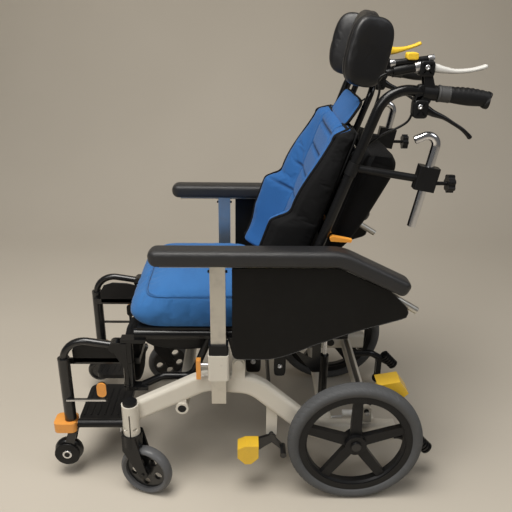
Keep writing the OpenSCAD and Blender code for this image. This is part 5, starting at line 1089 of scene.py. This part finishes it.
# %% Screws, caps and pins
def screw(at, axis, radius=5.0, height=3.0, finish=0):
    """Button head: a turned dome with a six sided socket, whose radius is that of a hexagon."""
    count = 48
    turn = np.linspace(0, 2 * np.pi, count + 1)[:-1, None]
    hexagon = radius * 0.45 * (1 / np.cos((turn + np.pi / 6) % (np.pi / 3) - np.pi / 6) - 1)
    profile = np.array([(0.05, height * 0.35), (radius * 0.45, height * 0.35), (radius * 0.45, height * 0.97),
                        (radius * 0.6, height), (radius * 0.85, height * 0.8), (radius, height * 0.35), (radius, 0),
                        (0.05, 0)])
    ripple = np.zeros((count, len(profile)))
    ripple[:, 1:3] = hexagon
    return knob(profile, at, axis, count, finish, ripple)


def disc(at, axis, radius, low, high, edge=1.0, finish=0, count=48):
    """A flat round cap between two places along its axis, with both rims rounded."""
    q = np.linspace(0, np.pi / 2, 5)
    profile = [(0.05, low)] + [(radius - edge + edge * np.sin(a), low + edge - edge * np.cos(a)) for a in q]
    profile += [(radius - edge + edge * np.cos(a), high - edge + edge * np.sin(a)) for a in q] + [(0.05, high)]
    return knob(profile, at, axis, count, finish)


for side, s in SIDES.items():
    out = (s, 0, 0)
    shells = [disc((s * 275.0, 0, AXLE_Z), out, 12.5, -1, 3.2), screw((s * 278.0, 0, AXLE_Z), out, 5.5, 1.2, 1)]
    build(f"axle_cap_{side}", f"rear_wheel_{side}", shells, ["black_plastic", "bolt_steel"])
    shells = [screw((s * 226.0, 30, 215), out, 6, 3.0), screw((s * 247.0, -547.0, 186), (0, -1, 0), 5, 3.0),
              screw((s * 226.2, -195, 150), out, 6, 3.0)]
    build(f"frame_screws_{side}", "base", shells, ["bolt_steel"])
    pins = [disc((s * ARM_X, -318.5 + d, 588.0), (0, np.sign(d), 0), 3.1, 0, 4.5, 0.8) for d in (-16.4, 16.4)]
    build(f"post_pins_{side}", f"arm_{side}", pins, ["black_plastic"])
print("fittings made")

# %% [markdown]
# ## Grips, levers and their bodies
# The grips are rubber sleeves with a hand swell, a grey patterned ring at the front and a lip that hangs down at the
# end. The levers are pressed blades: a flat rounded section along a smooth curve, wide at the root and slim before
# the tip. The adjuster tubes over the handles carry a bright barrel, a yellow stop and a thin cable.


# %% Grips
def on_handle(gone, lift=0.0, x=CANE_X):
    """Points on a push handle: gone millimetres from its corner and lift millimetres square to it."""
    run = np.array([0.0, 200, 48]) / np.hypot(200, 48)
    gone, lift = np.broadcast_arrays(np.asarray(gone, float), lift)
    flat = np.array([x, 0, 601]) + gone[..., None] * run + lift[..., None] * np.array([0, -run[2], run[1]])
    return on_back(flat)


def grip_shells(x, rows=90, cols=56):
    """Radius = 14.8 + 1.9 sin(1.1 pi u)^1.4 + 2.4 on the end lip; the underside is raised in four waves, and the last
    3 percent close as a quarter ellipse. A ring with ribs stands before the sleeve."""
    u = np.linspace(0, 1, rows)
    lip = smooth_step(u, 0.9, 0.96)
    radius = 14.8 + 1.9 * np.sin(np.pi * np.clip(u * 1.1, 0, 1)) ** 1.4 + 2.4 * lip
    shrink = np.sqrt(np.clip(1 - np.clip((u - 0.97) / 0.03, 0, 1) ** 2, 0.01, 1))
    section = superellipse(1, 1, 2.3, cols)
    grid = swept(on_handle(122 + 80 * u, -2.2 * lip, x), section, size=(radius * shrink)[:, None])
    under = np.maximum(0, -section[:, 1])[None] * np.sin(u * 4 * 2 * np.pi)[:, None] ** 2 * (u < 0.88)[:, None]
    grid[..., 2] += 1.1 * under
    ribs = [(15.4 + 0.5 * (i % 2), 6 + i) for i in range(15)]
    ring = [(0.05, 0), (15.6, 0), (16.6, 1), (16.6, 4), (15.4, 5), *ribs, (16.2, 21.5), (16.2, 24), (0.05, 24)]
    start = on_handle(99.0, 0.0, x)
    return [shell(grid), knob(ring, start, on_handle(100.0, 0.0, x) - start, 56, 1)]


grips = [part for s in (1, -1) for part in grip_shells(s * CANE_X)]
build("rubber_grips", "back", grips, ["dark_rubber", "grip_ring"], ["grips"])
print("grips made")


# %% Lever blades
def blade(points, half_wide, half_thick, rows=110, cols=44, power=2.6, blunt=5.0):
    """A rounded flat section along a smooth curve. Its half width and half thickness follow the points as smoothly,
    and both ends close by sqrt(1 - u^2) over the blunt length."""
    line, size = spline(points, rows), spline(np.column_stack([half_wide, half_thick]), rows)
    return shell(swept(line, superellipse(1, 1, power, cols), size=size * blunted(run_of(line), blunt, 0.01)))


def lever(name, body, x, places, wide, thick, look):
    """A blade through places of (y, z) at one x, with its half widths and half thicknesses there."""
    build(name, body, [blade([(x, y, z) for y, z in places], wide, thick)], [look], [body])


lever("silver_blade", "tilt_lever", CANE_X,
      [(80, 1000), (98, 1000), (116, 997), (141, 994), (170, 996), (192, 1001), (203, 1005)],
      [10, 10, 10, 9.5, 9, 8.5, 8], [8, 9, 7, 4.6, 4.2, 4.2, 4.4], "silver_paint")
lever("yellow_blade", "recline_lever", -CANE_X,
      [(80, 1000), (98, 1000), (116, 1001), (140, 1006), (162, 1013), (178, 1020)],
      [10, 10, 10, 9.5, 9, 8.5], [8, 10, 8, 5, 4.4, 4.6], "yellow_paint")
for side, s in SIDES.items():
    lever(f"brake_blade_{side}", f"brake_lever_{side}", s * CANE_X,
          [(76, 929), (92, 922), (108, 914), (130, 906), (150, 895), (170, 883), (184, 871), (190, 864)],
          [9, 9, 8, 7, 6, 5.5, 5.5, 6.5], [8, 9, 7, 4.6, 3.8, 3.8, 4.4, 5.4], "black_paint")
print("levers made")


# %% Lever bodies and adjusters
def rod(start, end, radius, finish=0, count=32, edge=0.8):
    """A straight round rod with rounded rims from one point to another."""
    start, end = np.asarray(start, float), np.asarray(end, float)
    return disc(start, end - start, radius, 0, float(np.linalg.norm(end - start)), edge, finish, count)


def hose(points, radius, rows=80, cols=12):
    """A cable jacket along a smooth curve."""
    section = superellipse(radius, radius, 2, cols)
    return shell(swept(spline(points, rows), section, side=(0.3, 0.2, 0.93)))


UPPER, LOWER = box_outline(70, 99, 984, 1014, 5, 44), box_outline(66, 95, 905, 941, 4.5, 44)
NECK = spline([(66, 938), (94, 930), (101, 962), (74, 968), (66, 938)], 61)[:-1]
RODS = [((74, 1003), (22, 993), 9.5, 0), ((24, 993.5), (8, 990), 6.0, 0), ((92, 1017), (12, 1007), 6.2, 0),
        ((80, 1004), (62, 1000.8), 11.2, 1), ((98, 1018), (86, 1016.4), 7.2, 1), ((24, 1008.5), (14, 1007.2), 7.4, 1)]
CABLES = [[(198, 12, 990), (196, -4, 978), (190, 0, 950), (186, -12, 900), (184, -30, 840)],
          [(194, 70, 918), (190, 62, 896), (186, 40, 880), (186, 14, 868), (184, -24, 838)]]
for side, s in SIDES.items():
    x0, x1 = sorted((s * 184.0, s * 212.0))
    shells = [slab(UPPER, x0, x1, 3), slab(LOWER, x0, x1, 3), slab(NECK, x0 + 4, x1 - 4, 3)]
    shells += [rod((s * CANE_X, *a), (s * CANE_X, *b), radius, look) for a, b, radius, look in RODS]
    shells += [screw((s * 212, y, z), (s, 0, 0), 5, 2, 1) for y, z in ((84, 1002), (78, 928))]
    build(f"lever_body_{side}", "back", shells, ["black_plastic", "bolt_steel"])
    cables = [hose(np.multiply(route, (s, 1, 1)), 2.4) for route in CABLES]
    build(f"lever_cables_{side}", "back", cables, ["black_plastic"])
stop = box_outline(44, 66, 1015, 1028, 5, 40)
build("yellow_stop", "back", [slab(stop, 188.0, 208.0, 1.2)], ["yellow_plastic"])
print("lever bodies made")

# %% [markdown]
# ## Panel edge, roller caps and the works behind the wheel
# A thin grey line runs along the lower edge of each side panel, where the sheet was cut, and the rollers turn on
# bolts with a chrome ring. The rest is guessed: small bright parts behind the spokes, taken for the ends of the gas
# springs, dark shields beside the calves, and brackets and a cover under the seat.


# %% Panel edge and roller caps
PANEL_X = 251.2
PANEL_EDGE = [(-284, 386), (-276, 381), (-240, 380.5), (-206, 381), (-176, 388),
              (-140, 402), (-106, 418), (-72, 431), (-20, 451), (78, 482.5), (88, 489), (91, 498), (86, 511), (60, 538)]
ROLLER_CAP = [(196.2, 31, 3.6, 1.6, 0), (199.2, 11.5, 2.0, 0.8, 1), (200.6, 7.0, 1.2, 0.5, 0)]
for side, s in SIDES.items():
    edge = spline([(s * PANEL_X, y, z) for y, z in PANEL_EDGE], 260)
    build(f"panel_edge_{side}", f"arm_{side}", [shell(swept(edge, superellipse(0.5, 0.5, 2, 8)))], ["grip_ring"])
    cap = [disc((s * x, *ROLLER), (s, 0, 0), radius, 0, high, rim, look) for x, radius, high, rim, look in ROLLER_CAP]
    build(f"roller_cap_{side}", f"foot_roller_{side}", cap, ["black_plastic", "chrome"])
print("edges and caps made")

# %% Works behind the wheel and shields
shells = [rod((150, -15, 160), (150, 18, 160), 8.5, 0), rod((150, -70, 145), (150, -14, 150), 3.4, 1),
          rod((150, -80, 130), (150, -30, 133), 6, 2)]
build("spring_ends", "base", shells, ["white_plastic", "bolt_steel", "black_plastic"])
SHIELD = [(-668, 312), (-669, 345), (-658, 366), (-632, 375), (-592, 373), (-566, 366), (-549, 350), (-549, 312)]
BRACKETS = [box_outline(-258, -222, 300, 398, 7, 44), box_outline(-191, -163, 290, 398, 7, 44)]
for side, s in SIDES.items():
    x0, x1 = sorted((s * 153.5, s * 157.5))
    build(f"calf_shield_{side}", f"leg_rest_{side}", [slab(SHIELD, x0, x1, 1.2)], ["black_plastic"])
    x0, x1 = sorted((s * 174.0, s * 181.0))
    blocks = [slab(outline, x0, x1, 2.0) for outline in BRACKETS]
    bolts = [screw((s * 181.0, y, z), (s, 0, 0), 6, 3.0, 1) for y, z in ((-240, 330), (-177, 318), (-240, 372))]
    build(f"seat_brackets_{side}", "seat", blocks + bolts, ["black_plastic", "bolt_steel"])
UNDER = [(-500, 408), (-501, 374), (-488, 352), (-440, 341), (-384, 339), (-352, 350), (-346, 408)]
build("under_seat_cover", "seat", [slab(spline(UNDER, 60), -140.0, 140.0, 2.0)], ["black_plastic"])
print("works and shields made")
